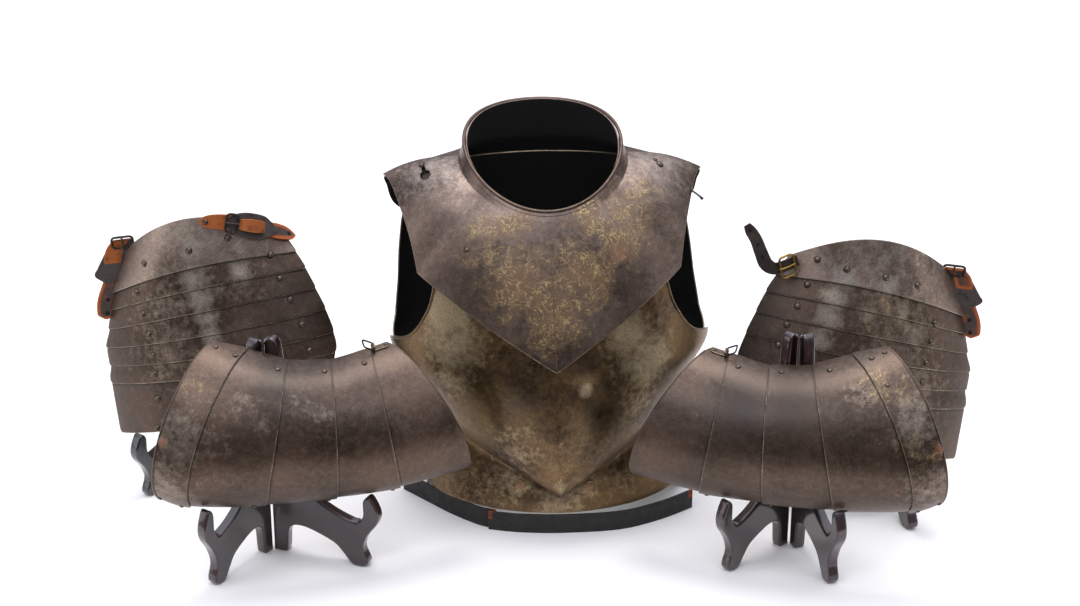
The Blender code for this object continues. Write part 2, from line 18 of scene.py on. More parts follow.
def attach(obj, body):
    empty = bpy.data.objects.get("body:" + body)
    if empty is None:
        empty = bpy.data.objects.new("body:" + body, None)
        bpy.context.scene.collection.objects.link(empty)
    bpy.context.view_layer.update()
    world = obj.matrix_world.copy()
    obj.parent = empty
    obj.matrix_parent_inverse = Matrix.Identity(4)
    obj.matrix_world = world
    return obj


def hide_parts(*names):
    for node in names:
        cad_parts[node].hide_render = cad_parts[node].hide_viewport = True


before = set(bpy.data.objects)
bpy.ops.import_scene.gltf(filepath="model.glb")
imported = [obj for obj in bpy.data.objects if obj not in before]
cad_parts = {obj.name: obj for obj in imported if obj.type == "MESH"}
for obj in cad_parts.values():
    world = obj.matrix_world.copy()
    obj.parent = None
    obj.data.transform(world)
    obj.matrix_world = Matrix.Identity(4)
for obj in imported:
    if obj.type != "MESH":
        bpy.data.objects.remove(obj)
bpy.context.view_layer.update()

# %% [markdown]
# ## Named sizes
# The plates are drawn in one frame and then carried to the set's middle. These
# sizes and tables are the ones that the solids are made from, so every finer
# surface here lies where its solid lies.

# %% sizes of the plates
SET_SHIFT = Vector((0.007, 0.0626, 0.0))

STEEL = 0.0015
LAME_STEEL = 0.0012
LEATHER = 0.0025
GAP = 0.0003

# Cuirass: where its frame stands and how it leans.
BODY_X = 0.016
BODY_LEAN = -0.033
BODY_YAW = math.radians(3.5)

# Each row is one level of the torso, from the floor up:
# height at the ridge, height at the side, half width, depth in front,
# share of the front that comes to a ridge, depth behind.
TORSO = [
    (0.0012, 0.0012, 0.1440, 0.1080, 0.02, 0.105),
    (0.0230, 0.0230, 0.1425, 0.1045, 0.04, 0.102),
    (0.0380, 0.0640, 0.1345, 0.1010, 0.12, 0.096),
    (0.0500, 0.1020, 0.1290, 0.0960, 0.22, 0.090),
    (0.0565, 0.1090, 0.1300, 0.1290, 0.52, 0.091),
    (0.0780, 0.1240, 0.1350, 0.1345, 0.42, 0.094),
    (0.1080, 0.1450, 0.1460, 0.1335, 0.33, 0.099),
    (0.1420, 0.1660, 0.1600, 0.1305, 0.27, 0.105),
    (0.1750, 0.1860, 0.1700, 0.1270, 0.22, 0.109),
    (0.2080, 0.2080, 0.1690, 0.1220, 0.18, 0.111),
    (0.2420, 0.2420, 0.1665, 0.1150, 0.15, 0.110),
    (0.2760, 0.2760, 0.1645, 0.1055, 0.12, 0.106),
    (0.3100, 0.3100, 0.1610, 0.0925, 0.10, 0.099),
    (0.3350, 0.3350, 0.1560, 0.0760, 0.08, 0.089),
    (0.3690, 0.3690, 0.1370, 0.0500, 0.05, 0.0725),
]
BREAST_HEM_ROW = 1
BREAST_TOP_ROW = 12
# Angle from the front, in degrees, at which the breastplate's edge lies at
# each torso row. It turns in from the side seam round the armhole.
BREAST_EDGE = [90, 90, 90, 90, 90, 90, 90, 90, 90, 63, 51, 46.5, 45, 45, 45]
# The same for the backplate, whose sides tuck under the breastplate.
BACK_EDGE = [82, 82, 82, 82, 82, 82, 82, 82, 87, 99, 103, 105, 107, 112, 125]
BACK_INSET = 0.0034

# Gorget: an oval rim that dips in front, a low collar and a cape over the
# shoulders that comes to a point on the breast.
RIM_HALF_WIDTH = 0.081
RIM_HALF_DEPTH = 0.075
RIM_HEIGHT = 0.398
RIM_DIP = 0.034
RIM_SADDLE = -0.007
BASE_FLARE = 1.08
CORNER_ANGLE = 48.0
CORNER_X = 0.1365
CORNER_HEIGHT = 0.2835
TIP_HEIGHT = 0.199
CAPE_LIFT = 0.0035
CAPE_BULGE = 0.0125
CAPE_SHOULDER_BULGE = 0.008
CAPE_RIDGE = 0.0035
CAPE_RIDGE_ANGLE = 24.0
# Outer edge of the cape behind the breast corner: angle round the neck, then
# the point's x, y and z from the middle of the body.
CAPE_EDGE = [
    (60, 0.1435, -0.0400, 0.3220),
    (76, 0.1570, 0.0000, 0.3555),
    (90, 0.1660, 0.0200, 0.3640),
    (106, 0.1655, 0.0340, 0.3500),
    (126, 0.1520, 0.0560, 0.3120),
    (150, 0.0850, 0.1030, 0.2800),
    (180, 0.0000, 0.1180, 0.2680),
]
FRONT_CAPE_ANGLE = 96.0
BACK_CAPE_ANGLE = 64.0
BACK_CAPE_INSET = 0.0023

# Belt along the foot of the cuirass: plan points of its outer face.
BELT_HEIGHT = 0.0222
BELT_FRONT = [
    (-0.055, -0.0990),
    (-0.020, -0.1055),
    (0.026, -0.1065),
    (0.084, -0.0995),
    (0.128, -0.0790),
    (0.165, -0.0520),
]
BELT_SIDE = [
    (-0.150, -0.0120),
    (-0.124, -0.0380),
    (-0.095, -0.0665),
    (-0.066, -0.0892),
    (-0.047, -0.0970),
]

# Pauldron: arcs from its top edge over its crown to its bottom edge, from the
# narrow end to the wide one. Top, crown and bottom points, in millimetres.
PAULDRON_ARCS = [
    (-326, -155, 251, -370, -225, 193, -382, -206, 98),
    (-291, -152, 242, -333, -235, 186, -350, -206, 88),
    (-254, -147, 228, -259, -227, 178, -278, -192, 82),
    (-213, -137, 223, -201, -212, 168, -208, -174, 80),
    (-173, -122, 228, -149, -193, 162, -144, -154, 83),
    (-154, -112, 229, -89, -162, 172, -79, -130, 91),
]
PAULDRON_HALF_ARC = math.radians(80)
PAULDRON_LAP = 0.24
CROWN_STEP = 0.0026
END_STEP = 0.0021
RIGHT_PAULDRON_SHIFT = (0.020, 0.0, -0.006)

# Tasset: levels of the plate from its bottom edge to its top edge. Left end
# x and z, right end x and z and how far the level arches, in millimetres.
TASSET_LEVELS = [
    (-108, -124, 124, -70, 2),
    (-119, -68, 136, -19, 2),
    (-120, -48, 134, 4, 2),
    (-124, -28, 125, 29, 3),
    (-121, -7, 114, 52, 7),
    (-119, 15, 103, 74, 10),
    (-117, 34, 92, 92, 15),
    (-101, 85, 78, 113, 34),
]
TASSET_HALF_ARC = math.radians(52)
TASSET_BULGE = 0.047
TASSET_LEAN = math.radians(12)
TASSET_LAP = 0.40
TASSET_STEP = 0.0025
TASSETS = {
    "left": ((-0.357, 0.060, 0.160), math.radians(-7), False),
    "right": ((0.343, 0.000, 0.160), math.radians(7), True),
}

# The right tasset's top strap is flipped up: x, y, z and width of its run
# from the plate over the bend to the tip, in millimetres.
FLIPPED_STRAP = [
    (272, -4, 272, 12), (260, -9, 268, 13), (247, -14, 266, 14), (237, -18, 273, 15),
    (231, -16, 286, 14), (226, -12, 298, 13), (220, -8, 307, 12), (216, -6, 313, 7),
]
STRAP_LEATHER = 0.0018
BUCKLE_WIRE = 0.0013

# Tab and wire loop on the top edge of a pauldron's widest lame.
TAB_WIDTH = 0.008
TAB_ROOT = 4.80
TAB_END = 4.12
TAB_SHARE = 0.975
TAB_GAP = 0.0002
TAB_STEEL = 0.0012
CURL_RADIUS = 0.0029
LOOP_WIRE = 0.0009
LOOP_WIDTH = 0.0135
LOOP_LENGTH = 0.014
LOOP_RISE = math.radians(35)

# Keyhole of the gorget's front plate and the stud of the back plate in it.
STUD_ANGLE = -76.0
STUD_REACH = 1.50

# Easel board: reach forward from the hinge edge and height, in millimetres.
EASEL_BOARD = [
    (0, 2), (3, 0), (11, 0), (15, 4), (17, 28), (22, 36), (31, 38), (44, 35),
    (66, 25), (76, 14), (84, 3), (91, 0), (100, 2), (103, 9), (98, 25),
    (103, 42), (114, 60), (115, 74), (108, 90), (103, 91), (99, 84),
    (99, 68), (95, 59), (88, 57), (64, 67), (44, 84), (30, 112), (22, 160),
    (17, 215), (14, 240), (8, 247), (2, 243), (0, 232),
]
EASEL_THICKNESS = 0.012
EASEL_LOW = 100.0
# Each easel: hinge line x and y, then for each board its bearing in degrees
# and the scales of its reach and of its arm's and hook's height.
EASELS = {
    "easel_front_left": (-0.279, -0.140, (236, 0.88, 0.98), (339, 1.05, 0.91)),
    "easel_front_right": (0.262, -0.128, (222, 0.88, 0.93), (291, 0.88, 0.96)),
    "easel_rear_left": (-0.366, 0.045, (232, 0.95, 0.85), (308, 0.95, 0.97)),
    "easel_rear_right": (0.352, -0.0145, (232, 0.95, 0.97), (294, 0.95, 0.85)),
}
print(len(TORSO), "torso levels,", len(PAULDRON_ARCS), "pauldron arcs,", len(TASSET_LEVELS), "tasset levels")

# %% [markdown]
# ## Surfaces
# Armour is raised from flat sheet over stakes, so its surfaces are smooth and
# nearly developable. Rows of measured sections with a smooth curve through them
# give that, and two numbers, across and along, name any place on a plate.

# %% curves through measured rows
def through(rows, at):
    """Read a smooth curve through the rows at a fractional row number."""
    last = len(rows) - 1
    at = min(max(at, 0.0), float(last))
    start = min(int(at), last - 1)
    part = at - start
    before = rows[max(start - 1, 0)]
    here = rows[start]
    there = rows[start + 1]
    after = rows[min(start + 2, last)]
    values = []
    for a, b, c, d in zip(before, here, there, after):
        cubic = 2 * b + (c - a) * part
        cubic += (2 * a - 5 * b + 4 * c - d) * part ** 2
        cubic += (3 * b - a - 3 * c + d) * part ** 3
        values.append(cubic / 2)
    return values


def between(rows, at):
    """Read straight lines between the rows at a fractional row number."""
    last = len(rows) - 1
    at = min(max(at, 0.0), float(last))
    start = min(int(at), last - 1)
    part = at - start
    return rows[start] * (1 - part) + rows[start + 1] * part


def inset(surface, depth):
    """Move a surface inwards, against its normal, by depth(s, t)."""
    step = 0.004

    def moved(s, t):
        s0, s1 = max(s - step, 0.0), min(s + step, 1.0)
        t0, t1 = max(t - step, 0.0), min(t + step, 1.0)
        run = surface(s1, t) - surface(s0, t)
        rise = surface(s, t1) - surface(s, t0)
        return surface(s, t) - run.cross(rise).normalized() * depth(s, t)

    return moved
print("halfway along 0, 1, 4:", round(through([(0.0,), (1.0,), (4.0,)], 1.5)[0], 3))

# %% [markdown]
# ### Cuirass, gorget and belt
# A torso is a stack of ovals whose width and depth change with height. The
# breastplate takes their front and adds a keel, the backplate takes their rear,
# and the gorget is a cape that hangs from an oval rim.

# %% surfaces of the cuirass, the gorget and the belt
def body_place(x, y, z):
    """Stand a point of the body's own frame on the table."""
    c, s = math.cos(BODY_YAW), math.sin(BODY_YAW)
    return Vector((x * c - y * s + BODY_X + BODY_LEAN * z, x * s + y * c, z))


def torso_own(angle, row):
    """Torso point in the body's own frame, angle 0 being its front."""
    ridge_z, side_z, width, front, ridge, back = through(TORSO, row)
    s, c = math.sin(math.radians(angle)), math.cos(math.radians(angle))
    if c < 0:
        return width * s, -back * c, side_z
    y = -front * ((1 - ridge) * c + ridge * (1 - abs(s)))
    return width * s, y, ridge_z + (side_z - ridge_z) * abs(s)


def torso_depth(x, z):
    """How far back the torso's front lies at a place seen from the front."""
    low, high = float(BREAST_HEM_ROW), float(len(TORSO) - 1)
    for _ in range(30):
        row = (low + high) / 2
        width = through(TORSO, row)[2]
        angle = math.degrees(math.asin(min(abs(x) / width, 1.0)))
        point = torso_own(angle, row)
        if point[2] < z:
            low = row
        else:
            high = row
    return point[1]


def breast_surface(s, t):
    row = BREAST_HEM_ROW + (BREAST_TOP_ROW - BREAST_HEM_ROW) * t
    edge = min(through([(value,) for value in BREAST_EDGE], row)[0], max(BREAST_EDGE))
    return body_place(*torso_own(edge * (2 * s - 1), row))


def back_surface(s, t):
    row = (len(TORSO) - 1) * t
    edge = between(BACK_EDGE, row)
    return body_place(*torso_own(edge + (360 - 2 * edge) * s, row))


def cape_edge(angle):
    """Outer edge of the gorget's cape at an angle round the neck."""
    turn = abs(angle)
    side = math.copysign(1.0, angle)
    if turn <= CORNER_ANGLE:
        share = turn / CORNER_ANGLE
        x = CORNER_X * share
        z = TIP_HEIGHT + (CORNER_HEIGHT - TIP_HEIGHT) * share
        return Vector((side * x, torso_depth(x, z) - CAPE_LIFT, z))
    y = torso_depth(CORNER_X, CORNER_HEIGHT) - CAPE_LIFT
    rows = [(CORNER_ANGLE, CORNER_X, y, CORNER_HEIGHT)] + CAPE_EDGE
    index = 0
    while index < len(rows) - 2 and rows[index + 1][0] < turn:
        index += 1
    part = (turn - rows[index][0]) / (rows[index + 1][0] - rows[index][0])
    _angle, x, y, z = through(rows, index + part)
    return Vector((side * x, y, z))


def cape_own(angle, reach):
    """Gorget point: reach 0 at the rim, 1 at the collar's foot, 2 outside."""
    s, c = math.sin(math.radians(angle)), math.cos(math.radians(angle))
    rim_z = RIM_HEIGHT - RIM_DIP * c + RIM_SADDLE * math.cos(math.radians(2 * angle))
    rim = Vector((RIM_HALF_WIDTH * s, -RIM_HALF_DEPTH * c, rim_z))
    collar = 0.026 - 0.018 * c - 0.006 * s * s
    foot = Vector((rim.x * BASE_FLARE, rim.y * BASE_FLARE, rim_z - collar))
    if reach <= 1:
        return rim.lerp(foot, reach)
    edge = cape_edge((angle + 180) % 360 - 180)
    outward = Vector((0.3 * s, -c, abs(s))).normalized()
    bulge = CAPE_BULGE + CAPE_SHOULDER_BULGE * (2 * s * c) ** 2
    middle = (foot + edge) / 2 + outward * bulge
    share = reach - 1
    first = foot.lerp(middle, share)
    point = first.lerp(middle.lerp(edge, share), share)
    crease = max(0.0, 1 - abs(angle) / CAPE_RIDGE_ANGLE)
    point.y -= CAPE_RIDGE * crease * 4 * share * (1 - share)
    return point


def cape_surface(start, end):
    collar_share = 0.2

    def surface(s, t):
        angle = start + (end - start) * s
        down = 1 - t
        if down <= collar_share:
            reach = down / collar_share
        else:
            reach = 1 + (down - collar_share) / (1 - collar_share)
        return body_place(*cape_own(angle, reach))

    return surface


def belt_surface(points):
    def surface(s, t):
        x, y = through(points, s * (len(points) - 1))
        return Vector((x, y, BELT_HEIGHT * t))

    return surface
print("tip of the gorget", [round(v, 3) for v in body_place(*cape_own(0, 2))])

# %% [markdown]
# ### Pauldrons and tassets
# A pauldron is a row of arcs, and a lame fills the space between two of them. A
# tasset is a bulging panel that levels divide into lames. Each lame runs a little
# way under its neighbour, as on the real ones.

# %% surfaces of the pauldrons and the tassets
def arc_point(top, crown, bottom, half_arc, share):
    """Point of the arc from bottom (share 0) over the crown to top (1)."""
    turn = half_arc * (2 * share - 1)
    middle = (top + bottom) / 2
    swing = math.sin(turn) / math.sin(half_arc)
    lift = (math.cos(turn) - math.cos(half_arc)) / (1 - math.cos(half_arc))
    return middle + (top - bottom) / 2 * swing + (crown - middle) * lift


def pauldron_point(side, at, share):
    """Pauldron's master surface at arc number at, share 0 at the bottom."""
    row = [value / 1000 for value in through(PAULDRON_ARCS, at)]
    top, crown, bottom = Vector(row[0:3]), Vector(row[3:6]), Vector(row[6:9])
    point = arc_point(top, crown, bottom, PAULDRON_HALF_ARC, share)
    if side == "right":
        point.x = -point.x
        point += Vector(RIGHT_PAULDRON_SHIFT)
    return point


def pauldron_lame(side, number):
    """Surface of one lame; lame 1 is outermost and laps over lame 2."""
    start = number - 1 - (PAULDRON_LAP if number > 1 else 0)
    length = number - start

    def place(s):
        along = s if side == "left" else 1 - s
        return start + length * along

    def depth(s, t):
        if number == 1:
            return 0.0
        step = END_STEP + (CROWN_STEP - END_STEP) * math.sin(math.pi * t)
        return step * (number - place(s)) / length

    return inset(lambda s, t: pauldron_point(side, place(s), t), depth)


def tasset_point(side, across, level):
    """Tasset's master surface: across 0 to 1 and a level of the table."""
    origin, yaw, mirrored = TASSETS[side]
    reading = through(TASSET_LEVELS, level)
    left_x, left_z, right_x, right_z, arch = [value / 1000 for value in reading]
    if mirrored:
        across = 1 - across
    turn = TASSET_HALF_ARC * (2 * across - 1)
    share = 0.5 + 0.5 * math.sin(turn) / math.sin(TASSET_HALF_ARC)
    lift = math.cos(turn) - math.cos(TASSET_HALF_ARC)
    lift /= 1 - math.cos(TASSET_HALF_ARC)
    x = left_x + (right_x - left_x) * share
    z = left_z + (right_z - left_z) * share + arch * 4 * share * (1 - share)
    y = -TASSET_BULGE * lift
    if mirrored:
        x = -x
    leant = Matrix.Rotation(-TASSET_LEAN, 3, "X") @ Vector((x, y, z))
    return Vector(origin) + Matrix.Rotation(yaw, 3, "Z") @ leant


def tasset_lame(side, number):
    """Surface of one lame; lame 1 is the lowest and laps over lame 2."""
    last = len(TASSET_LEVELS) - 1
    start = number - 1
    end = min(number + (TASSET_LAP if number < last else 0), last)

    def depth(s, t):
        level = start + (end - start) * t
        return TASSET_STEP * (level - start) / (1 + TASSET_LAP)

    def surface(s, t):
        return tasset_point(side, s, start + (end - start) * t)

    return inset(surface, depth)
print("crown of the left pauldron", [round(v, 3) for v in pauldron_point("left", 2.5, 0.5)])

# %% [markdown]
# ### Directions on a plate
# What lies on a plate needs the plate's own directions: along it, across it and
# outwards. Straps, tabs and buckles are placed by them, so they stay seated.

# %% frames on a surface, straps and rings
def smooth_path(points, size=3):
    rows = [tuple(point)[:size] for point in points]
    return lambda t: Vector(through(rows, t * (len(rows) - 1)))


def plate_frame(surface, s, t):
    """Point of a surface with its unit directions along, up and outwards."""
    step = 0.01
    run = (surface(s + step, t) - surface(s - step, t)).normalized()
    rise = (surface(s, t + step) - surface(s, t - step)).normalized()
    outward = run.cross(rise).normalized()
    return surface(s, t), run, outward.cross(run).normalized(), outward


def tasset_frame(side, across, level):
    last = len(TASSET_LEVELS) - 1
    level = min(level, last - 0.02 * last)
    mirrored = TASSETS[side][2]
    along = 1 - across if mirrored else across
    return plate_frame(lambda s, t: tasset_point(side, s, t * last), along, level / last)


def laid_strap(side, rows, upright):
    """Strap laid on a tasset, its width level or, if upright, up the plate."""
    reading = smooth_path(rows, 4)

    def surface(s, t):
        across, level, width, lift = reading(t)
        point, run, rise, outward = tasset_frame(side, across, level)
        wide = rise if upright else (run * 0.6 + Vector((0.4, 0.0, 0.0))).normalized()
        point += outward * lift / 1000
        return point + wide * (width / 1000) * (0.5 - s)

    return surface


def flipped_strap(s, t):
    """Strap that stands up in front of the viewer, its flat side to them."""
    reading = smooth_path(FLIPPED_STRAP, 4)
    x, _y, z, width = reading(t)
    step = 0.01
    along = reading(min(t + step, 1.0)) - reading(max(t - step, 0.0))
    along = Vector(along[0:3]).normalized()
    wide = along.cross(Vector((0.0, -1.0, 0.0))).normalized()
    return Vector((x, reading(t)[1], z)) / 1000 + wide * (width / 1000) * (s - 0.5)


def tab_frame(side):
    """End of a pauldron's tab: place and directions outward, on and across."""
    def lift(at):
        here = pauldron_point(side, at, TAB_SHARE)
        on = (pauldron_point(side, at - 0.05, TAB_SHARE) - here).normalized()
        wide = (pauldron_point(side, at, TAB_SHARE - 0.02) - here).normalized()
        out = on.cross(wide).normalized()
        if out.z < 0:
            out = -out
        sunk = END_STEP * (len(PAULDRON_ARCS) - 1 - at) / (1 + PAULDRON_LAP)
        return here + out * (TAB_GAP - sunk), on, wide, out

    return lift


def tab_surface(side):
    """Tab whose end curls round the wire of its loop."""
    lift = tab_frame(side)
    end, on, wide, out = lift(TAB_END)
    centre = end + out * CURL_RADIUS
    path = [lift(TAB_ROOT + (TAB_END - TAB_ROOT) * k / 4)[0] for k in range(5)]
    for k in range(1, 9):
        turn = math.radians(25 * k)
        path.append(centre + (on * math.sin(turn) - out * math.cos(turn)) * CURL_RADIUS)
    reading = smooth_path(path)
    across = wide * (1 if side == "left" else -1)

    def surface(s, t):
        return reading(t) + across * TAB_WIDTH * (s - 0.5)

    return surface, centre, on, wide, out, len(path) - 1


print("directions ready for straps, tabs and rings")

# %% [markdown]
# ## Finishes
# Old armour is iron-rich steel whose bright surface has gone to a thin brown
# oxide. It is still a metal to the light, but a rough one. Handling keeps its cut
# edges bright, and these edges are also painted highlight where they catch the
# light. Lighter patches on high spots are painted highlights, and darker patches
# are painted shade. Each finish mixes named colours by noise whose scale is
# worked out from its real size, so 1 / 0.08 means patches of 80 mm.

# %% one helper that adds a node, and colour from hex
def linear(hex_colour):
    """Screen colour in hex to the linear colour that a shader wants."""
    values = [int(hex_colour[i:i + 2], 16) / 255 for i in (1, 3, 5)]
    return (*[v / 12.92 if v <= 0.04045 else ((v + 0.055) / 1.055) ** 2.4 for v in values], 1.0)


def add(material, kind, links=None, **settings):
    """Add a node, set its attributes or inputs, and link its inputs."""
    node = material.node_tree.nodes.new("ShaderNode" + kind)
    for name, value in settings.items():
        if name in node.inputs:
            node.inputs[name].default_value = value
        else:
            setattr(node, name, value)
    for name, source in (links or {}).items():
        material.node_tree.links.new(source, node.inputs[name])
    return node


def feed(material, socket, value):
    """Link a socket to an input, or set it to a number or a hex colour."""
    if hasattr(value, "links"):
        material.node_tree.links.new(value, socket)
    elif isinstance(value, str):
        socket.default_value = linear(value)
    else:
        socket.default_value = value


def start_material(name):
    material = bpy.data.materials.new(name)
    material.use_nodes = True
    material.node_tree.nodes.clear()
    return material, add(material, "TexCoord").outputs["Object"]


def finish_material(material, shader):
    out = add(material, "OutputMaterial")
    material.node_tree.links.new(shader.outputs[0], out.inputs["Surface"])
    return material


def spots(material, where, size, **settings):
    """Noise with features of about the given size in metres."""
    texture = add(material, "TexNoise", {"Vector": where}, Scale=1 / size, **settings)
    return texture.outputs["Fac"]


def blend(material, amount, low, high, kind="MIX"):
    """Mix two colours, each a socket or a hex text."""
    node = add(material, "Mix", data_type="RGBA", blend_type=kind)
    feed(material, node.inputs["Factor"], amount)
    feed(material, node.inputs[6], low)
    feed(material, node.inputs[7], high)
    return node.outputs[2]


def sum_of(material, kind, first, second, clamp=False):
    """One arithmetic node on sockets or numbers."""
    node = add(material, "Math", operation=kind, use_clamp=clamp)
    feed(material, node.inputs[0], first)
    feed(material, node.inputs[1], second)
    return node.outputs[0]


def spread(material, value, low, high, out_low=0.0, out_high=1.0):
    """Stretch a value from one range to another, held inside it."""
    settings = {"From Min": low, "From Max": high, "To Min": out_low, "To Max": out_high}
    return add(material, "MapRange", {"Value": value}, **settings).outputs[0]


def attribute(material, name):
    return add(material, "Attribute", attribute_name=name).outputs["Fac"]


print("helpers ready:", linear("#808080")[0])

# %% [markdown]
# ### Browned steel
# The gorget, the pauldrons and the tassets have a brown to purple-grey skin. The
# breastplate is more olive and pitted. The gorget and the top plates of the
# tassets get paler copies, partly painted light for the light that their upper
# faces catch. One recipe makes them all: patches, a fine mottle, pits, a yellow
# bloom of squiggly scratches where the stain attribute says so, bright cut edges
# that are partly painted highlight, painted highlights and painted shade where the
# bright and dark attributes say so, a painted shadow beside each lapping edge, and
# rust at a few spots.

# %% steel finishes
def steel_finish(name, deep, middle, light, bloom, pit_share, roughness, highlight_and_wear_colour="#b8aa96"):
    m, where = start_material(name)
    patches = spots(m, where, 0.075, Detail=2.0, Roughness=0.5, Distortion=0.3)
    mottle = spots(m, where, 0.0065, Detail=6.0, Roughness=0.7)
    grain = spots(m, where, 0.0013, Detail=3.0, Roughness=0.65)
    colour = blend(m, spread(m, patches, 0.34, 0.62), deep, middle)
    colour = blend(m, spread(m, mottle, 0.42, 0.78, 0.0, 0.55), colour, light)
    colour = blend(m, spread(m, grain, 0.36, 0.56, 0.45, 0.0), colour, "#1d1814")
    salt = spread(m, spots(m, where, 0.0024, Detail=4.0, Roughness=0.75), 0.56, 0.68, 0.0, 0.5)
    salt = sum_of(m, "MULTIPLY", salt, spread(m, spots(m, where, 0.03, Detail=3.0), 0.42, 0.62, 0.15, 1.0))
    colour = blend(m, salt, colour, light)
    # Painted shade: darker where the dark attribute is set.
    colour = blend(m, sum_of(m, "MULTIPLY", attribute(m, "dark"), 0.75, True), colour, "#221911")

    speck = add(m, "TexVoronoi", {"Vector": where}, Scale=1 / 0.0042, Randomness=1.0)
    chosen = spread(m, speck.outputs["Color"], 1 - pit_share, 1 - pit_share + 0.02)
    pit = sum_of(m, "MULTIPLY", spread(m, speck.outputs["Distance"], 0.10, 0.26, 1.0, 0.0), chosen)
    colour = blend(m, sum_of(m, "MULTIPLY", pit, 0.8), colour, "#120e0b")

    cloud = spots(m, where, 0.016, Detail=5.0, Roughness=0.7)
    # Lighter patches: random lighter metal, and painted highlights where the bright attribute is set.
    shine = sum_of(m, "ADD", attribute(m, "bright"), sum_of(m, "SUBTRACT", cloud, 0.5))
    shine = spread(m, sum_of(m, "ADD", shine, sum_of(m, "SUBTRACT", mottle, 0.5)), 0.22, 0.95)
    shine = sum_of(m, "MULTIPLY", shine, spread(m, grain, 0.34, 0.52, 0.35, 1.0))
    colour = blend(m, sum_of(m, "MULTIPLY", shine, 0.85), colour, highlight_and_wear_colour)

    wiggle = spots(m, where, 0.0090, Detail=2.0, Roughness=0.5, Distortion=1.8)
    line = spread(m, sum_of(m, "ABSOLUTE", sum_of(m, "SUBTRACT", wiggle, 0.5), 0.0), 0.008, 0.046, 1.0, 0.0)
    broken = spread(m, spots(m, where, 0.012, Detail=3.0, Roughness=0.6), 0.40, 0.53)
    stain = attribute(m, "stain")
    reach = sum_of(m, "ADD", sum_of(m, "MULTIPLY", stain, 0.62), cloud)
    dusty = spread(m, reach, 0.76, 1.12, 0.0, 0.70)
    scored = sum_of(m, "MULTIPLY", sum_of(m, "MULTIPLY", line, broken), spread(m, reach, 0.72, 0.98))
    colour = blend(m, dusty, colour, bloom)
    colour = blend(m, sum_of(m, "MULTIPLY", scored, 0.85), colour, "#bda36b")

    # Painted shadow: a dark line on each lame just beside its neighbour's lapping edge.
    plain = attribute(m, "is_sheet")
    lap = sum_of(m, "ADD", attribute(m, "from_lap"), spread(m, grain, 0.3, 0.7, -0.0004, 0.0004))
    lap_shadow = sum_of(m, "MULTIPLY", spread(m, lap, 0.0004, 0.0018, 1.0, 0.0), plain)
    colour = blend(m, sum_of(m, "MULTIPLY", lap_shadow, 0.75), colour, "#0f0b09")
    # Lighter cut edges: handling wear, and partly painted highlight where the edges catch the light.
    frayed = sum_of(m, "ADD", attribute(m, "from_edge"), spread(m, mottle, 0.35, 0.65, -0.0007, 0.0007))
    worn = sum_of(m, "MULTIPLY", spread(m, frayed, 0.0003, 0.0010, 1.0, 0.0), plain)
    worn = sum_of(m, "MULTIPLY", worn, spread(m, cloud, 0.36, 0.58, 0.25, 1.0))
    colour = blend(m, sum_of(m, "MULTIPLY", worn, 0.8), colour, "#a8977a")
    rust = sum_of(m, "MULTIPLY", attribute(m, "rust"), spread(m, mottle, 0.3, 0.5, 0.5, 1.0), True)
    colour = blend(m, rust, colour, "#8f5226")

    rough = spread(m, patches, 0.3, 0.7, roughness - 0.04, roughness + 0.08)
    rough = sum_of(m, "ADD", rough, spread(m, mottle, 0.35, 0.7, -0.04, 0.06))
    rough = sum_of(m, "ADD", rough, sum_of(m, "MULTIPLY", sum_of(m, "ADD", dusty, rust), 0.3), True)
    metal = sum_of(m, "SUBTRACT", 0.74, sum_of(m, "MULTIPLY", sum_of(m, "ADD", dusty, rust), 0.5), True)

    hammered = spots(m, where, 0.022, Detail=1.5)
    height = sum_of(m, "MULTIPLY", hammered, 0.00035)
    height = sum_of(m, "ADD", height, sum_of(m, "MULTIPLY", mottle, 0.00005))
    height = sum_of(m, "ADD", height, sum_of(m, "MULTIPLY", grain, 0.00003))
    height = sum_of(m, "SUBTRACT", height, sum_of(m, "MULTIPLY", pit, 0.0002))
    height = sum_of(m, "ADD", height, sum_of(m, "MULTIPLY", scored, 0.00008))
    bump = add(m, "Bump", {"Height": height}, Strength=1.0, Distance=1.0)
    shader = add(
        m, "BsdfPrincipled",
        {"Base Color": colour, "Metallic": metal, "Roughness": rough, "Normal": bump.outputs[0]},
        IOR=2.0)
    return finish_material(m, shader)


browned = steel_finish(
    "browned_oxide_steel", "#402c1c", "#5f4838", "#83705f", "#80643c", 0.03, 0.40, "#b5a795")
# Paler copy for the tassets' top plates, partly painted light for the light they catch from above.
paler_and_lit_browned = steel_finish(
    "lighter_browned_steel", "#75604f", "#a48d7d", "#c2b2a4", "#7d693f", 0.03, 0.36, "#cfc4b4")
# Paler grey copy for the gorget, partly painted light for the light its shoulders catch from above.
greyer_and_lit_browned = steel_finish(
    "grey_browned_steel", "#544135", "#826c5e", "#a8958a", "#7d5a2a", 0.03, 0.36, "#b9aa9c")
olive = steel_finish(
    "olive_patinated_steel", "#412a12", "#745732", "#a88c5c", "#7d693f", 0.18, 0.32, "#d2bd97")


def inside_finish():
    """Soot-dark scale that is left inside a plate after forging."""
    m, where = start_material("forge_scale_inside")
    patches = spots(m, where, 0.04, Detail=5.0, Roughness=0.65)
    colour = blend(m, spread(m, patches, 0.35, 0.7), "#070504", "#15100d")
    shader = add(m, "BsdfPrincipled", {"Base Color": colour}, Roughness=0.8, Metallic=0.2)
    return finish_material(m, shader)


forge_scale = inside_finish()


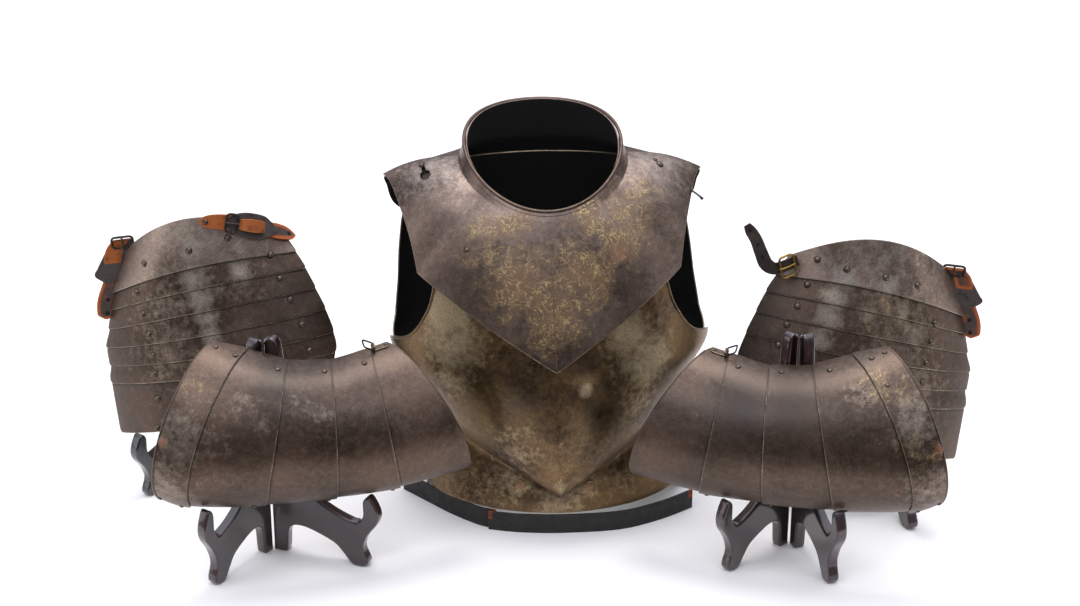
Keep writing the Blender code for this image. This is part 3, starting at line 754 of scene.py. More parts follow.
def head_finish():
    """Hammered rivet heads, a little brighter than the plate they hold: worn metal, and partly a painted
    highlight.
    """
    m, where = start_material("hammered_rivet_steel")
    mottle = spots(m, where, 0.0022, Detail=4.0, Roughness=0.7)
    colour = blend(m, spread(m, mottle, 0.35, 0.7), "#352b25", "#8c7d6c")
    bump = add(m, "Bump", {"Height": sum_of(m, "MULTIPLY", mottle, 0.0004)}, Distance=1.0)
    shader = add(
        m, "BsdfPrincipled", {"Base Color": colour, "Normal": bump.outputs[0]},
        Metallic=0.85, Roughness=0.42)
    return finish_material(m, shader)


rivet_steel = head_finish()


print("steel finishes:", browned.name, paler_and_lit_browned.name, greyer_and_lit_browned.name, olive.name)
print("inside and rivets:", forge_scale.name, rivet_steel.name)

# %% [markdown]
# ### Leather, iron, brass and lacquer
# The straps are orange vegetable-tanned hide, dark and cracked on the grain side
# and raw at every cut. The belt is black. Buckles are blackened iron wire but for
# one brass bar. The easels are carved boards under glossy lacquer, which is a
# clear coat over stained wood.

# %% leather, iron, brass and lacquer finishes
def leather_finish(name, face, worn, raw, raw_width, gloss):
    m, where = start_material(name)
    patches = spots(m, where, 0.012, Detail=5.0, Roughness=0.7)
    creases = add(m, "TexVoronoi", {"Vector": where}, Scale=1 / 0.0016, feature="DISTANCE_TO_EDGE")
    colour = blend(m, spread(m, patches, 0.50, 0.66), face, worn)
    edge = sum_of(m, "ADD", attribute(m, "from_edge"), spread(m, patches, 0.3, 0.7, -0.0006, 0.0006))
    cut = spread(m, edge, raw_width * 0.6, raw_width * 1.3 + 0.0001, 1.0, 0.0)
    colour = blend(m, sum_of(m, "MULTIPLY", cut, attribute(m, "is_sheet")), colour, raw)
    fine = spots(m, where, 0.0006, Detail=2.0)
    height = sum_of(m, "MULTIPLY", spread(m, creases.outputs["Distance"], 0.0, 0.12), 0.00012)
    height = sum_of(m, "ADD", height, sum_of(m, "MULTIPLY", fine, 0.00006))
    bump = add(m, "Bump", {"Height": height}, Distance=1.0)
    shader = add(
        m, "BsdfPrincipled",
        {"Base Color": colour, "Normal": bump.outputs[0],
         "Roughness": spread(m, patches, 0.3, 0.7, gloss, gloss + 0.2)})
    return finish_material(m, shader)


grain_leather = leather_finish("dark_grain_leather", "#443a36", "#2a211d", "#6b4630", 0.0005, 0.5)
tongue_leather = leather_finish("worn_tan_strap_leather", "#3d302a", "#7e4118", "#a95316", 0.0036, 0.5)
flesh_leather = leather_finish("orange_flesh_leather", "#a4561a", "#6a3410", "#b06020", 0.0008, 0.62)
brown_leather = leather_finish("dark_brown_strap_leather", "#261b17", "#3b2a20", "#4d301c", 0.0008, 0.45)
belt_leather = leather_finish("black_belt_leather", "#1a1613", "#120f0d", "#2a231e", 0.0005, 0.50)
raw_leather = leather_finish("raw_cut_belt_end", "#8e3d12", "#5d280d", "#8e3d12", 0.0005, 0.7)


def plain_metal(name, low, high, metallic, rough):
    m, where = start_material(name)
    mottle = spots(m, where, 0.003, Detail=5.0, Roughness=0.7)
    colour = blend(m, spread(m, mottle, 0.35, 0.65), low, high)
    shader = add(
        m, "BsdfPrincipled",
        {"Base Color": colour, "Roughness": spread(m, mottle, 0.3, 0.7, rough - 0.06, rough + 0.12)},
        Metallic=metallic)
    return finish_material(m, shader)


iron = plain_metal("blackened_iron_wire", "#1b1715", "#5a4f47", 0.85, 0.38)
bright_steel = plain_metal("scored_bright_steel", "#5f4f36", "#97825a", 0.6, 0.5)
brass = plain_metal("tarnished_brass", "#6b5126", "#b0904f", 1.0, 0.34)


def lacquer_finish(name, deep, grain_colour):
    m, where = start_material(name)
    grain = add(
        m, "TexWave", {"Vector": where},
        Scale=1 / 0.02, Distortion=5.0, Detail=3.0, bands_direction="Z", **{"Detail Scale": 2.0})
    colour = blend(m, spread(m, grain.outputs["Fac"], 0.2, 0.9), deep, grain_colour)
    shader = add(
        m, "BsdfPrincipled", {"Base Color": colour}, Roughness=0.34, IOR=1.5,
        **{"Coat Weight": 1.0, "Coat Roughness": 0.08, "Coat IOR": 1.52})
    return finish_material(m, shader)


cherry = lacquer_finish("cherry_lacquer", "#1d090c", "#331317")
black = lacquer_finish("black_lacquer", "#08080a", "#101014")
print(len(bpy.data.materials), "materials")

# %% [markdown]
# ## From surface to sheet
# A plate is a grid of points on its surface, thickened inwards, with its cut
# edges rounded. Sheet that was worked with a hammer is never quite even, so each
# point moves by up to a few tenths of a millimetre, by noise that depends on its
# place alone: two plates that lie on each other then move together. Each point
# also stores its distance from the cut edge, for the wear.

# %% sheet, rolled edge, rivet heads
UNEVEN = 0.0005
UNEVEN_SIZE = 0.045


def unevenness(here):
    """How far hammering left the sheet out or in at a place of the frame."""
    return UNEVEN * noise.noise(here / UNEVEN_SIZE)


def sheet(name, surface, across, along, thickness, outer, inner, body,
          replaces=(), marks=(), bumps=(), uneven=UNEVEN, rounding=0.0004, ends=None, lap=None, rolled=()):
    """Plate or strap on a surface, riding on a body.

    marks: (attribute, centre, radius, strength). bumps: (centre, radius, height).
    ends: a material for the first and last rows of faces. lap: a function of
    (s, t) that gives how far a place lies out from under the neighbour's edge.
    rolled: borders that a rolled edge covers, where no cut edge shows.
    """
    grid = [[surface(i / across, j / along) + SET_SHIFT for i in range(across + 1)]
            for j in range(along + 1)]
    columns = across + 1
    points = [point for row in grid for point in row]
    faces = []
    for j in range(along):
        for i in range(across):
            a = j * columns + i
            faces.append((a, a + 1, a + columns + 1, a + columns))
    mesh = bpy.data.meshes.new(name)
    mesh.from_pydata(points, [], faces)
    mesh.shade_smooth()
    mesh.update()
    normals = [vertex.normal.copy() for vertex in mesh.vertices]
    for vertex, normal in zip(mesh.vertices, normals):
        here = vertex.co.copy()
        move = unevenness(here) * uneven / UNEVEN
        for centre, radius, height in bumps:
            move += height * math.exp(-((here - centre).length / radius) ** 2)
        vertex.co = here + normal * move
    for key in sorted({"from_edge", "from_lap", "is_sheet"} | {mark[0] for mark in marks}):
        values = [0.0] * len(points)
        for index, here in enumerate(points):
            row, column = grid[index // columns], index % columns
            if key == "is_sheet":
                values[index] = 1.0
            elif key == "from_lap":
                values[index] = lap(column / across, index // columns / along) if lap else 1.0
            elif key == "from_edge":
                cuts = {"s0": row[0], "s1": row[across], "t0": grid[0][column], "t1": grid[along][column]}
                near = [(here - cut).length for name, cut in cuts.items() if name not in rolled]
                values[index] = min(near)
            for mark, centre, radius, strength in marks:
                if mark == key:
                    amount = strength * math.exp(-((here - centre).length / radius) ** 2)
                    values[index] = max(values[index], amount)
        mesh.attributes.new(key, "FLOAT", "POINT").data.foreach_set("value", values)
    piece = bpy.data.objects.new(name, mesh)
    bpy.context.scene.collection.objects.link(piece)
    mesh.materials.append(outer)
    mesh.materials.append(inner)
    if ends:
        mesh.materials.append(ends)
        for face in mesh.polygons:
            column, row = face.index % across, face.index // across
            if min(column, across - 1 - column) < 6 and row > along / 2:
                face.material_index = 2
    solid = piece.modifiers.new("thickness", "SOLIDIFY")
    solid.thickness = thickness
    solid.offset = -1.0
    solid.material_offset = 1
    solid.material_offset_rim = 0
    if ends:
        solid.material_offset = 0
    rounded = piece.modifiers.new("rounded cut", "BEVEL")
    rounded.width = rounding
    rounded.segments = 2
    rounded.limit_method = "ANGLE"
    rounded.angle_limit = math.radians(50)
    return place_piece(piece, body, replaces)


def place_piece(piece, body, replaces=()):
    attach(piece, body)
    if replaces:
        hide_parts(*replaces)
    return piece


def tube(name, points, radius, material, body, closed=False, replaces=(), taper=None):
    """Round wire or rolled edge through points that are already in the frame."""
    curve = bpy.data.curves.new(name, "CURVE")
    curve.dimensions = "3D"
    curve.bevel_depth = radius
    curve.bevel_resolution = 3
    curve.use_fill_caps = not closed
    line = curve.splines.new("POLY")
    line.points.add(len(points) - 1)
    for index, (knot, point) in enumerate(zip(line.points, points)):
        knot.co = (*point, 1.0)
        if taper:
            knot.radius = taper(index / (len(points) - 1))
    line.use_cyclic_u = closed
    for spline in curve.splines:
        spline.use_smooth = True
    curve.materials.append(material)
    piece = bpy.data.objects.new(name, curve)
    bpy.context.scene.collection.objects.link(piece)
    return place_piece(piece, body, replaces)


HEAD_SIDES = 14
# Lean of each ring of a rivet head; the first two make a dark ring round its foot, a painted contact shadow.
HEAD_RINGS = [(1.28, 0.0), (1.02, 0.10), (1.0, 0.0), (0.96, 0.35), (0.78, 0.72), (0.45, 0.95)]


# The foot finish darkens the ring round each head's foot, as painted shadow.
def heads(name, places, body, material=rivet_steel, foot=forge_scale):
    """Domed rivet heads as one piece. places: (point, outward, radius, height)."""
    form = bmesh.new()
    for order, (centre, outward, radius, height) in enumerate(places):
        turn = outward.to_track_quat("Z", "Y").to_matrix()
        middle = centre + SET_SHIFT
        rings = []
        for level, (wide, tall) in enumerate(HEAD_RINGS):
            ring = []
            for side in range(HEAD_SIDES):
                angle = 2 * math.pi * side / HEAD_SIDES
                wobble = 1 + 0.12 * noise.noise(Vector((side * 0.9, level * 0.8, order * 5.1)))
                flat = Vector((math.cos(angle), math.sin(angle), 0)) * radius * wide * wobble
                up = (-0.0002, 0.0002, 0.0002)[level] if level < 3 else height * tall
                ring.append(form.verts.new(middle + turn @ (flat + Vector((0, 0, up)))))
            rings.append(ring)
        for level in range(len(rings) - 1):
            for side in range(HEAD_SIDES):
                after = (side + 1) % HEAD_SIDES
                corners = (rings[level][side], rings[level][after],
                           rings[level + 1][after], rings[level + 1][side])
                # The lowest ring takes the foot finish: painted shadow where the head meets the plate.
                form.faces.new(corners).material_index = 1 if level == 0 else 0
        form.faces.new(rings[-1])
        form.faces.new(reversed(rings[0]))
    mesh = bpy.data.meshes.new(name)
    form.to_mesh(mesh)
    form.free()
    mesh.shade_smooth()
    mesh.materials.append(material)
    mesh.materials.append(foot)
    piece = bpy.data.objects.new(name, mesh)
    bpy.context.scene.collection.objects.link(piece)
    return place_piece(piece, body)


def on_plate(surface, s, t, lift=0.0):
    """Point and outward direction of a surface, with the point lifted."""
    point, _run, _rise, outward = plate_frame(surface, s, t)
    return point + outward * (lift + unevenness(point + SET_SHIFT)), outward


print("sheet maker ready")

# %% [markdown]
# ## Cuirass
# The breastplate has a keel down its middle that ends in an overhanging point
# above the flange, turned edges at the armholes, one dent beside the keel and two
# scars on the flange where bosses for the thigh straps broke off. The backplate
# shows through the armholes and the neck.

# %% breastplate and backplate
def on_breast(angle, row):
    return body_place(*torso_own(angle, row)) + SET_SHIFT


dent = on_breast(10.4, 8.0)
scars = [on_breast(-18.5, 2.2), on_breast(14.4, 2.2)]
breast_marks = [("stain", on_breast(0, 3.2), 0.05, 0.35)]
breast_marks += [("rust", scar, 0.006, 0.7) for scar in scars]
# Painted highlights: lit patches on the upper breast and flange, the lit crescent in the dent and lit spots
# along the keel.
breast_marks += [("bright", on_breast(angle, row), radius, amount)
                 for angle, row, radius, amount in
                 ((-41, 10.2, 0.026, 1.6), (-38, 9.3, 0.035, 0.9), (27, 9.6, 0.026, 1.1),
                  (33, 8.6, 0.035, 0.85),
                  (10.4, 7.95, 0.0075, 1.1), (-38, 8.0, 0.03, 0.5), (0.3, 4.75, 0.009, 0.5),
                  (0.3, 6.3, 0.008, 0.35), (-18, 5.6, 0.03, 0.35), (33, 6.8, 0.022, 0.5),
                  (0, 2.0, 0.03, 0.5), (-30, 2.0, 0.04, 0.35), (30, 2.0, 0.03, 0.3))]
# Painted shade: a dark halo round the dent, darker places on the breast and the shadow under the keel's
# overhanging point.
breast_marks += [("dark", on_breast(angle, row), radius, amount)
                 for angle, row, radius, amount in
                 ((11, 8.9, 0.018, 0.9), (17, 8.0, 0.016, 0.8), (5, 7.9, 0.012, 0.7),
                  (14, 7.1, 0.018, 0.8), (20, 7.0, 0.022, 0.6), (-13, 7.9, 0.034, 0.7),
                  (43, 7.6, 0.024, 0.6), (0, 3.8, 0.014, 0.9), (-10, 3.4, 0.012, 0.6),
                  (10, 3.4, 0.012, 0.6))]
breast_marks += [("stain", scar, 0.013, 1.3) for scar in scars]
breast_bumps = [(dent, 0.0125, -0.0034)]
breast_bumps += [(scar, 0.0045, 0.0012) for scar in scars]
sheet(
    "breastplate_sheet", breast_surface, 150, 154, STEEL, olive, forge_scale, "set",
    ["breastplate"], breast_marks, breast_bumps)

backplate = inset(back_surface, lambda s, t: BACK_INSET)
sheet(
    "backplate_sheet", backplate, 108, 112, STEEL, browned, forge_scale, "set",
    ["backplate"])


def border(surface, fixed, steps, first=0.0, last=1.0, down=0.0):
    """Points along one border of a surface; fixed is "s0", "s1", "t0" or "t1"."""
    points = []
    for k in range(steps + 1):
        share = first + (last - first) * k / steps
        edge = float(fixed[1])
        s, t = (edge, share) if fixed[0] == "s" else (share, edge)
        point, _run, _rise, outward = plate_frame(surface, s, t)
        points.append(point - outward * down + SET_SHIFT)
    return points


for fixed in ("s0", "s1"):
    armhole = border(breast_surface, fixed, 50, 0.655, 0.97, 0.0004)
    name = "armhole_turned_edge_" + ("left" if fixed == "s0" else "right")
    tube(name, armhole, 0.0017, olive, "set",
         taper=lambda share: min(1.0, 0.25 + 6 * share, 0.25 + 6 * (1 - share)))

for number, scar in enumerate(scars):
    outward = Vector((0.0, -1.0, 0.25)).normalized()
    ring = []
    for k in range(14):
        turn = 2 * math.pi * k / 14
        reach = 0.0062 * (1 + 0.25 * noise.noise(Vector((k * 1.7, number * 3.1, 0.5))))
        ring.append(scar + Vector((math.cos(turn), 0.0, math.sin(turn))) * reach + outward * 0.0006)
    tube(f"flange_scar_{number + 1}", ring, 0.0012, bright_steel, "set", closed=True)
print("dent at", [round(v, 3) for v in dent])

# %% [markdown]
# ## Gorget
# The gorget is two plates that turn on one shoulder rivet and lock with a stud in
# a keyhole on the other. Its rim is rolled outwards over a wire, and a sunk line
# follows it. A yellow bloom with squiggly scratches covers the middle of the
# chest, on both sides of a sharp scored keel line.

# %% gorget
def on_cape(angle, reach, lift=0.0):
    step = 1.0
    here = body_place(*cape_own(angle, reach))
    ahead = body_place(*cape_own(angle + step, reach)) - here
    beyond = body_place(*cape_own(angle, reach - 0.03)) - here
    outward = ahead.cross(beyond).normalized()
    return here + outward * lift, outward


bloom_places = [(-14, 1.50, 0.050, 1.0), (14, 1.45, 0.050, 1.0), (-34, 1.38, 0.044, 0.72),
                (34, 1.38, 0.044, 0.85), (48, 1.24, 0.040, 0.85), (0, 1.62, 0.045, 0.95),
                (-22, 1.08, 0.030, 0.8), (26, 1.06, 0.030, 0.85), (-62, 1.3, 0.030, 0.40),
                (64, 1.30, 0.036, 0.6), (0, 1.85, 0.030, 0.5)]
gorget_marks = [("stain", on_cape(angle, reach)[0] + SET_SHIFT, radius, amount)
                for angle, reach, radius, amount in bloom_places]
gorget_marks += [("rust", on_cape(32, 1.48)[0] + SET_SHIFT, 0.008, 0.5)]
# Painted highlights on the shoulders of the cape.
gorget_marks += [("bright", on_cape(angle, reach)[0] + SET_SHIFT, radius, amount)
                 for angle, reach, radius, amount in
                 ((-84, 1.35, 0.05, 0.5), (84, 1.35, 0.05, 0.55), (66, 1.2, 0.03, 0.4),
                  (-64, 1.2, 0.03, 0.3))]
# Painted shade near the point of the cape.
gorget_marks += [("dark", on_cape(angle, reach)[0] + SET_SHIFT, radius, amount)
                 for angle, reach, radius, amount in ((0, 1.93, 0.04, 0.9), (30, 1.85, 0.03, 0.4),
                                                      (-30, 1.85, 0.03, 0.3))]
keyhole_middle, keyhole_out = on_cape(STUD_ANGLE, STUD_REACH)
front = cape_surface(-FRONT_CAPE_ANGLE, FRONT_CAPE_ANGLE)


def rim_border(surface):
    """The border of a gorget plate that lies at the neck."""
    return "t1" if surface(0.5, 1.0).z > surface(0.5, 0.0).z else "t0"


front_piece = sheet(
    "gorget_front_sheet", front, 192, 90, STEEL, greyer_and_lit_browned, forge_scale, "set",
    ["gorget_front"], gorget_marks, rolled=(rim_border(front),))
behind = cape_surface(BACK_CAPE_ANGLE, 360 - BACK_CAPE_ANGLE)
behind = inset(behind, lambda s, t: BACK_CAPE_INSET)
# Painted shade on the back plate, where it shows through the keyhole.
under_keyhole = [("dark", keyhole_middle + SET_SHIFT, 0.010, 1.3)]
sheet("gorget_back_sheet", behind, 174, 60, STEEL, greyer_and_lit_browned, forge_scale, "set",
      ["gorget_back"], under_keyhole, rolled=(rim_border(behind),))


def keyhole_tool(centre, outward, up, radius, slot_radius, slot_reach):
    """Cutter in the shape of a keyhole: a round hole with a slot above it."""
    lean = math.asin(slot_radius / radius)
    outline = []
    for k in range(25):
        turn = math.pi / 2 + lean + (2 * math.pi - 2 * lean) * k / 24
        outline.append((radius * math.cos(turn), radius * math.sin(turn)))
    for k in range(9):
        turn = math.pi * k / 8
        outline.append((slot_radius * math.cos(turn), slot_reach + slot_radius * math.sin(turn)))
    side = up.cross(outward).normalized()
    form = bmesh.new()
    ring = [form.verts.new(centre + side * x + up * y - outward * 0.006) for x, y in outline]
    face = form.faces.new(ring)
    grown = bmesh.ops.extrude_face_region(form, geom=[face])["geom"]
    moved = [item for item in grown if isinstance(item, bmesh.types.BMVert)]
    bmesh.ops.translate(form, verts=moved, vec=outward * 0.012)
    bmesh.ops.recalc_face_normals(form, faces=form.faces[:])
    mesh = bpy.data.meshes.new("keyhole_tool")
    form.to_mesh(mesh)
    form.free()
    return bpy.data.objects.new("keyhole_tool", mesh)


KEYHOLE_REACH = 0.0110
up = Vector((-0.27, 0.42, 0.91))
inwards = Vector((0.0, 0.91, -0.42))
up = (up - inwards * (up.dot(keyhole_out) / inwards.dot(keyhole_out))).normalized()
tool = keyhole_tool(
    keyhole_middle + SET_SHIFT, keyhole_out, up, 0.0056, 0.0017, KEYHOLE_REACH)
bpy.context.scene.collection.objects.link(tool)
tool.hide_render = True
tool.hide_viewport = True
cut = front_piece.modifiers.new("keyhole", "BOOLEAN")
cut.operation = "DIFFERENCE"
cut.solver = "EXACT"
cut.object = tool

rim = [body_place(*cape_own(angle, 0.03)) + SET_SHIFT for angle in range(0, 360, 2)]
tube("gorget_rolled_rim", rim, 0.0019, browned, "set", closed=True)
bead = []
for angle in range(-56, 57, 2):
    bead.append(on_cape(angle, 0.52, 0.0001)[0] + SET_SHIFT)
tube("gorget_collar_bead", bead, 0.0004, browned, "set")
keel = []
for k in range(41):
    point, outward = on_cape(0.01, 1.10 + 0.86 * k / 40)
    keel.append(point + outward * unevenness(point + SET_SHIFT) + SET_SHIFT)
tube("gorget_keel_line", keel, 0.0006, bright_steel, "set",
     taper=lambda share: 0.5 + 0.5 * math.sin(math.pi * share))

gorget_heads = [(79.7, 1.44, 0.0034), (84.0, 1.36, 0.0022), (-38.7, 1.516, 0.0024)]
heads("gorget_rivets", [(*on_cape(angle, reach), size, size * 0.6)
                        for angle, reach, size in gorget_heads], "set")
stud_foot = keyhole_middle + up * KEYHOLE_REACH + SET_SHIFT
stud_points = [stud_foot + keyhole_out * (BACK_CAPE_INSET * -0.9), stud_foot + keyhole_out * 0.0025,
               stud_foot + keyhole_out * 0.0045]
tube("gorget_stud_shank", stud_points, 0.0016, iron, "set", replaces=["gorget_stud"])
heads("gorget_stud_head", [(keyhole_middle + up * KEYHOLE_REACH + keyhole_out * 0.0040, keyhole_out,
                            0.0028, 0.0018)], "set")
peg_foot, peg_out = on_cape(72, 1.97)
peg = [peg_foot + SET_SHIFT, peg_foot + SET_SHIFT + Vector((0.0085, -0.006, -0.0045)),
       peg_foot + SET_SHIFT + Vector((0.0125, -0.0085, -0.0075))]
tube("gorget_shoulder_peg", peg, 0.0011, iron, "set",
     taper=lambda share: 1.0 if share < 0.9 else 1.6)
print("keyhole at", [round(v, 3) for v in keyhole_middle + SET_SHIFT])

# %% [markdown]
# ## Belt
# A black strap stands on edge round the foot of the cuirass. It was cut with a
# knife, so its two front ends show raw orange hide.

# %% belt
for name, points, columns in (("belt_front", BELT_FRONT, 150), ("belt_side", BELT_SIDE, 90)):
    sheet(name + "_strap", belt_surface(points), columns, 10, LEATHER, belt_leather,
          belt_leather, "set", [name], uneven=0.0003, rounding=0.0006,
          ends=raw_leather)
print("belt is", round(BELT_HEIGHT * 1000), "mm high")

# %% [markdown]
# ## Pauldrons
# Five lames lap over each other like the shell of a lobster and turn on a rivet
# at each end of every seam. Their lapping corners are rounded so that they don't
# catch. The outermost lame has a turned edge.

# %% pauldron lames
PAULDRON_ARC_LENGTH = 0.215
LAME_WIDTH = 0.050


def rounded_lame(surface, lap_at, radius, width, length, along_t):
    """Draw in both ends of a lame near its lapping edge by a quarter circle."""

    def drawn(s, t):
        far, other = (s, t) if along_t else (t, s)
        near = abs(far - lap_at) * width
        draw = 0.0
        if near < radius:
            draw = radius * (1 - math.sqrt(max(0.0, 1 - (1 - near / radius) ** 2)))
        other = 0.5 + (other - 0.5) * (1 - 2 * draw / length)
        return surface(s, other) if along_t else surface(other, t)

    return drawn


def lame_share(side, number, at):
    """Where along a lame an arc number lies."""
    start = number - 1 - (PAULDRON_LAP if number > 1 else 0)
    share = (at - start) / (number - start)
    return share if side == "left" else 1 - share


# Rivets on each pauldron: arc number, share up the arc and head radius.
PAULDRON_RIVETS = {
    "left": [(0.32, 0.93, 0.0024), (0.88, 0.90, 0.0027), (0.15, 0.05, 0.0022), (0.80, 0.03, 0.0022),
             (1.83, 0.865, 0.0027), (1.84, 0.045, 0.0024), (2.84, 0.872, 0.0027),
             (2.88, 0.045, 0.0024), (3.76, 0.888, 0.0027), (3.88, 0.03, 0.0024)],
    "right": [(0.30, 0.93, 0.0024), (0.70, 0.905, 0.0027), (0.15, 0.05, 0.0022), (0.80, 0.03, 0.0022),
              (0.76, 0.74, 0.0020), (1.66, 0.888, 0.0027), (1.84, 0.045, 0.0024),
              (2.71, 0.912, 0.0027), (2.88, 0.045, 0.0024), (3.70, 0.905, 0.0027),
              (3.88, 0.03, 0.0024)],
}
# Painted highlights on the high places: arc number, share up the arc, radius and strength.
PAULDRON_PAINTED_HIGHLIGHTS = {
    "left": [(1.45, 0.66, 0.018, 0.30), (1.75, 0.58, 0.014, 0.35), (2.35, 0.66, 0.018, 0.35),
             (2.75, 0.63, 0.016, 0.35), (0.5, 0.45, 0.04, 0.55), (0.6, 0.2, 0.03, 0.45)],
    "right": [(1.3, 0.72, 0.016, 0.4), (0.5, 0.55, 0.03, 0.55), (0.5, 0.25, 0.04, 0.4)],
}
# Painted shade: darker places, with the same columns.
PAULDRON_SHADE = {
    "left": [(1.8, 0.78, 0.03, 0.8), (2.6, 0.80, 0.03, 0.55), (3.6, 0.8, 0.03, 0.4)],
    "right": [(2.5, 0.70, 0.045, 1.0), (3.5, 0.68, 0.045, 1.1), (4.5, 0.6, 0.03, 0.5),
              (4.0, 0.2, 0.05, 0.6)],
}
RUST_SPOTS = {"left": (0.20, 0.43), "right": (0.12, 0.42)}

for side in ("left", "right"):
    rust_at, rust_share = RUST_SPOTS[side]
    rust = pauldron_point(side, rust_at, rust_share) + SET_SHIFT
    stains = [("stain", pauldron_point(side, at, share) + SET_SHIFT, radius, amount)
              for at, share, radius, amount in
              ((0.45, 0.70, 0.030, 0.45), (4.5, 0.55, 0.02, 0.3), (3.0, 0.3, 0.02, 0.25))]
    if side == "right":
        stains.append(("stain", pauldron_point(side, 0.6, 0.45) + SET_SHIFT, 0.05, 0.5))
        stains.append(("stain", pauldron_point(side, 0.9, 0.75) + SET_SHIFT, 0.03, 0.6))
    # Painted highlights and painted shade for each lame.
    shine = [("bright", pauldron_point(side, at, share) + SET_SHIFT, radius, amount)
             for at, share, radius, amount in PAULDRON_PAINTED_HIGHLIGHTS[side]]
    shine += [("dark", pauldron_point(side, at, share) + SET_SHIFT, radius, amount)
              for at, share, radius, amount in PAULDRON_SHADE[side]]
    for number in range(1, len(PAULDRON_ARCS)):
        body = "set" if number == 3 else f"pauldron_{side}_lame_{number}"
        lap_at = 1.0 if side == "left" else 0.0
        lame = rounded_lame(
            pauldron_lame(side, number), lap_at, 0.009, LAME_WIDTH, PAULDRON_ARC_LENGTH, True)
        under = PAULDRON_LAP / (1 + PAULDRON_LAP)

        def out_from(s, t):
            share = s if side == "left" else 1 - s
            return (share - under) * LAME_WIDTH

        sheet(
            f"{side}_shoulder_lame_{number}", lame, 26, 84, LAME_STEEL, browned, forge_scale, body,
            [f"pauldron_{side}_lame_{number}"],
            [("rust", rust, 0.0045, 1.0)] + stains + shine, [(rust, 0.004, 0.0018)] if number == 1 else [],
            lap=out_from if number > 1 else None)
        places = []
        for at, share, size in PAULDRON_RIVETS[side]:
            if math.ceil(at) == number:
                surface = pauldron_lame(side, number)
                point, outward = on_plate(surface, lame_share(side, number, at), share)
                places.append((point, outward, size, size * 0.62))
        if places:
            heads(f"{side}_shoulder_rivets_{number}", places, body)
    outer = border(pauldron_lame(side, 1), "s0" if side == "left" else "s1", 60, 0.02, 0.98, 0.0009)
    tube(f"{side}_shoulder_turned_edge", outer, 0.0015, browned, f"pauldron_{side}_lame_1")
    last = len(PAULDRON_ARCS) - 1
    inner = border(
        pauldron_lame(side, last), "s1" if side == "left" else "s0", 60, 0.05, 0.95, 0.0008)
    tube(f"{side}_shoulder_inner_edge", inner, 0.0011, browned, f"pauldron_{side}_lame_{last}")
print("pauldron rivets:", sum(len(v) for v in PAULDRON_RIVETS.values()))

# %% [markdown]
# ### Tab and wire loop
# A strap from the gorget once passed through a wire loop on each pauldron. The
# loop is held by a small tab whose end is curled round it.

# %% tabs and loops
def rounded_ring(centre, wide, long, width, length, corner, steps=5):
    """Points of a rectangular ring with rounded corners."""
    points = []
    for a, b, first in ((1, 1, 0.0), (-1, 1, 0.5), (-1, -1, 1.0), (1, -1, 1.5)):
        for k in range(steps + 1):
            turn = math.pi * (first + 0.5 * k / steps)
            x = a * (width / 2 - corner) + corner * math.cos(turn)
            y = b * (length / 2 - corner) + corner * math.sin(turn)
            points.append(centre + wide * x + long * y)
    return points


for side in ("left", "right"):
    tab, centre, on, wide, out, bends = tab_surface(side)
    last_body = f"pauldron_{side}_lame_5"

    def trimmed(s, t):
        """The tab's root end is rounded."""
        root = max(0.0, 1 - t / 0.10)
        return tab(0.5 + (s - 0.5) * math.sqrt(max(0.05, 1 - root ** 2)), t)

    sheet(f"{side}_loop_tab", trimmed, 8, 72, TAB_STEEL, browned, browned, last_body,
          [f"pauldron_{side}_tab"], uneven=0.0, rounding=0.0003)
    reach = on * math.cos(LOOP_RISE) + out * math.sin(LOOP_RISE)
    middle = centre + SET_SHIFT + reach * LOOP_LENGTH / 2
    ring = rounded_ring(middle, wide, reach, LOOP_WIDTH, LOOP_LENGTH, 0.003)
    tube(f"{side}_wire_loop", ring, LOOP_WIRE, iron, f"pauldron_{side}_loop",
         closed=True, replaces=[f"pauldron_{side}_loop"])
    point = tab(0.5, 0.08)
    heads(f"{side}_tab_rivet", [(point + out * TAB_STEEL, out, 0.0022, 0.0012)], last_body)
print("loop wire", LOOP_WIRE * 2000, "mm")

# %% [markdown]
# ## Tassets
# Seven lames hang on leathers inside. Their outer heads stand in two columns, with
# a row along the top plate. The heads are larger and rougher than on the
# pauldrons.

# %% tasset lames
TASSET_ARC_LENGTH = 0.26
TASSET_RIVETS = {
    "left": [(0.241, 6.37), (0.485, 6.36), (0.673, 6.50), (0.839, 6.84), (0.212, 5.70),
             (0.239, 4.48), (0.266, 3.51), (0.272, 2.47), (0.268, 1.40), (0.269, 0.67),
             (0.252, 0.13), (0.860, 6.02), (0.855, 4.80), (0.863, 3.80), (0.872, 2.67),
             (0.875, 1.37), (0.875, 0.5)],
    "right": [(0.188, 6.54), (0.337, 6.34), (0.516, 6.30), (0.677, 6.31), (0.176, 5.75),
              (0.173, 4.64), (0.158, 3.79), (0.155, 2.90), (0.155, 1.6), (0.155, 0.7),
              (0.767, 5.19), (0.753, 4.28), (0.732, 3.29), (0.73, 2.4), (0.73, 1.5), (0.73, 0.6)],
}
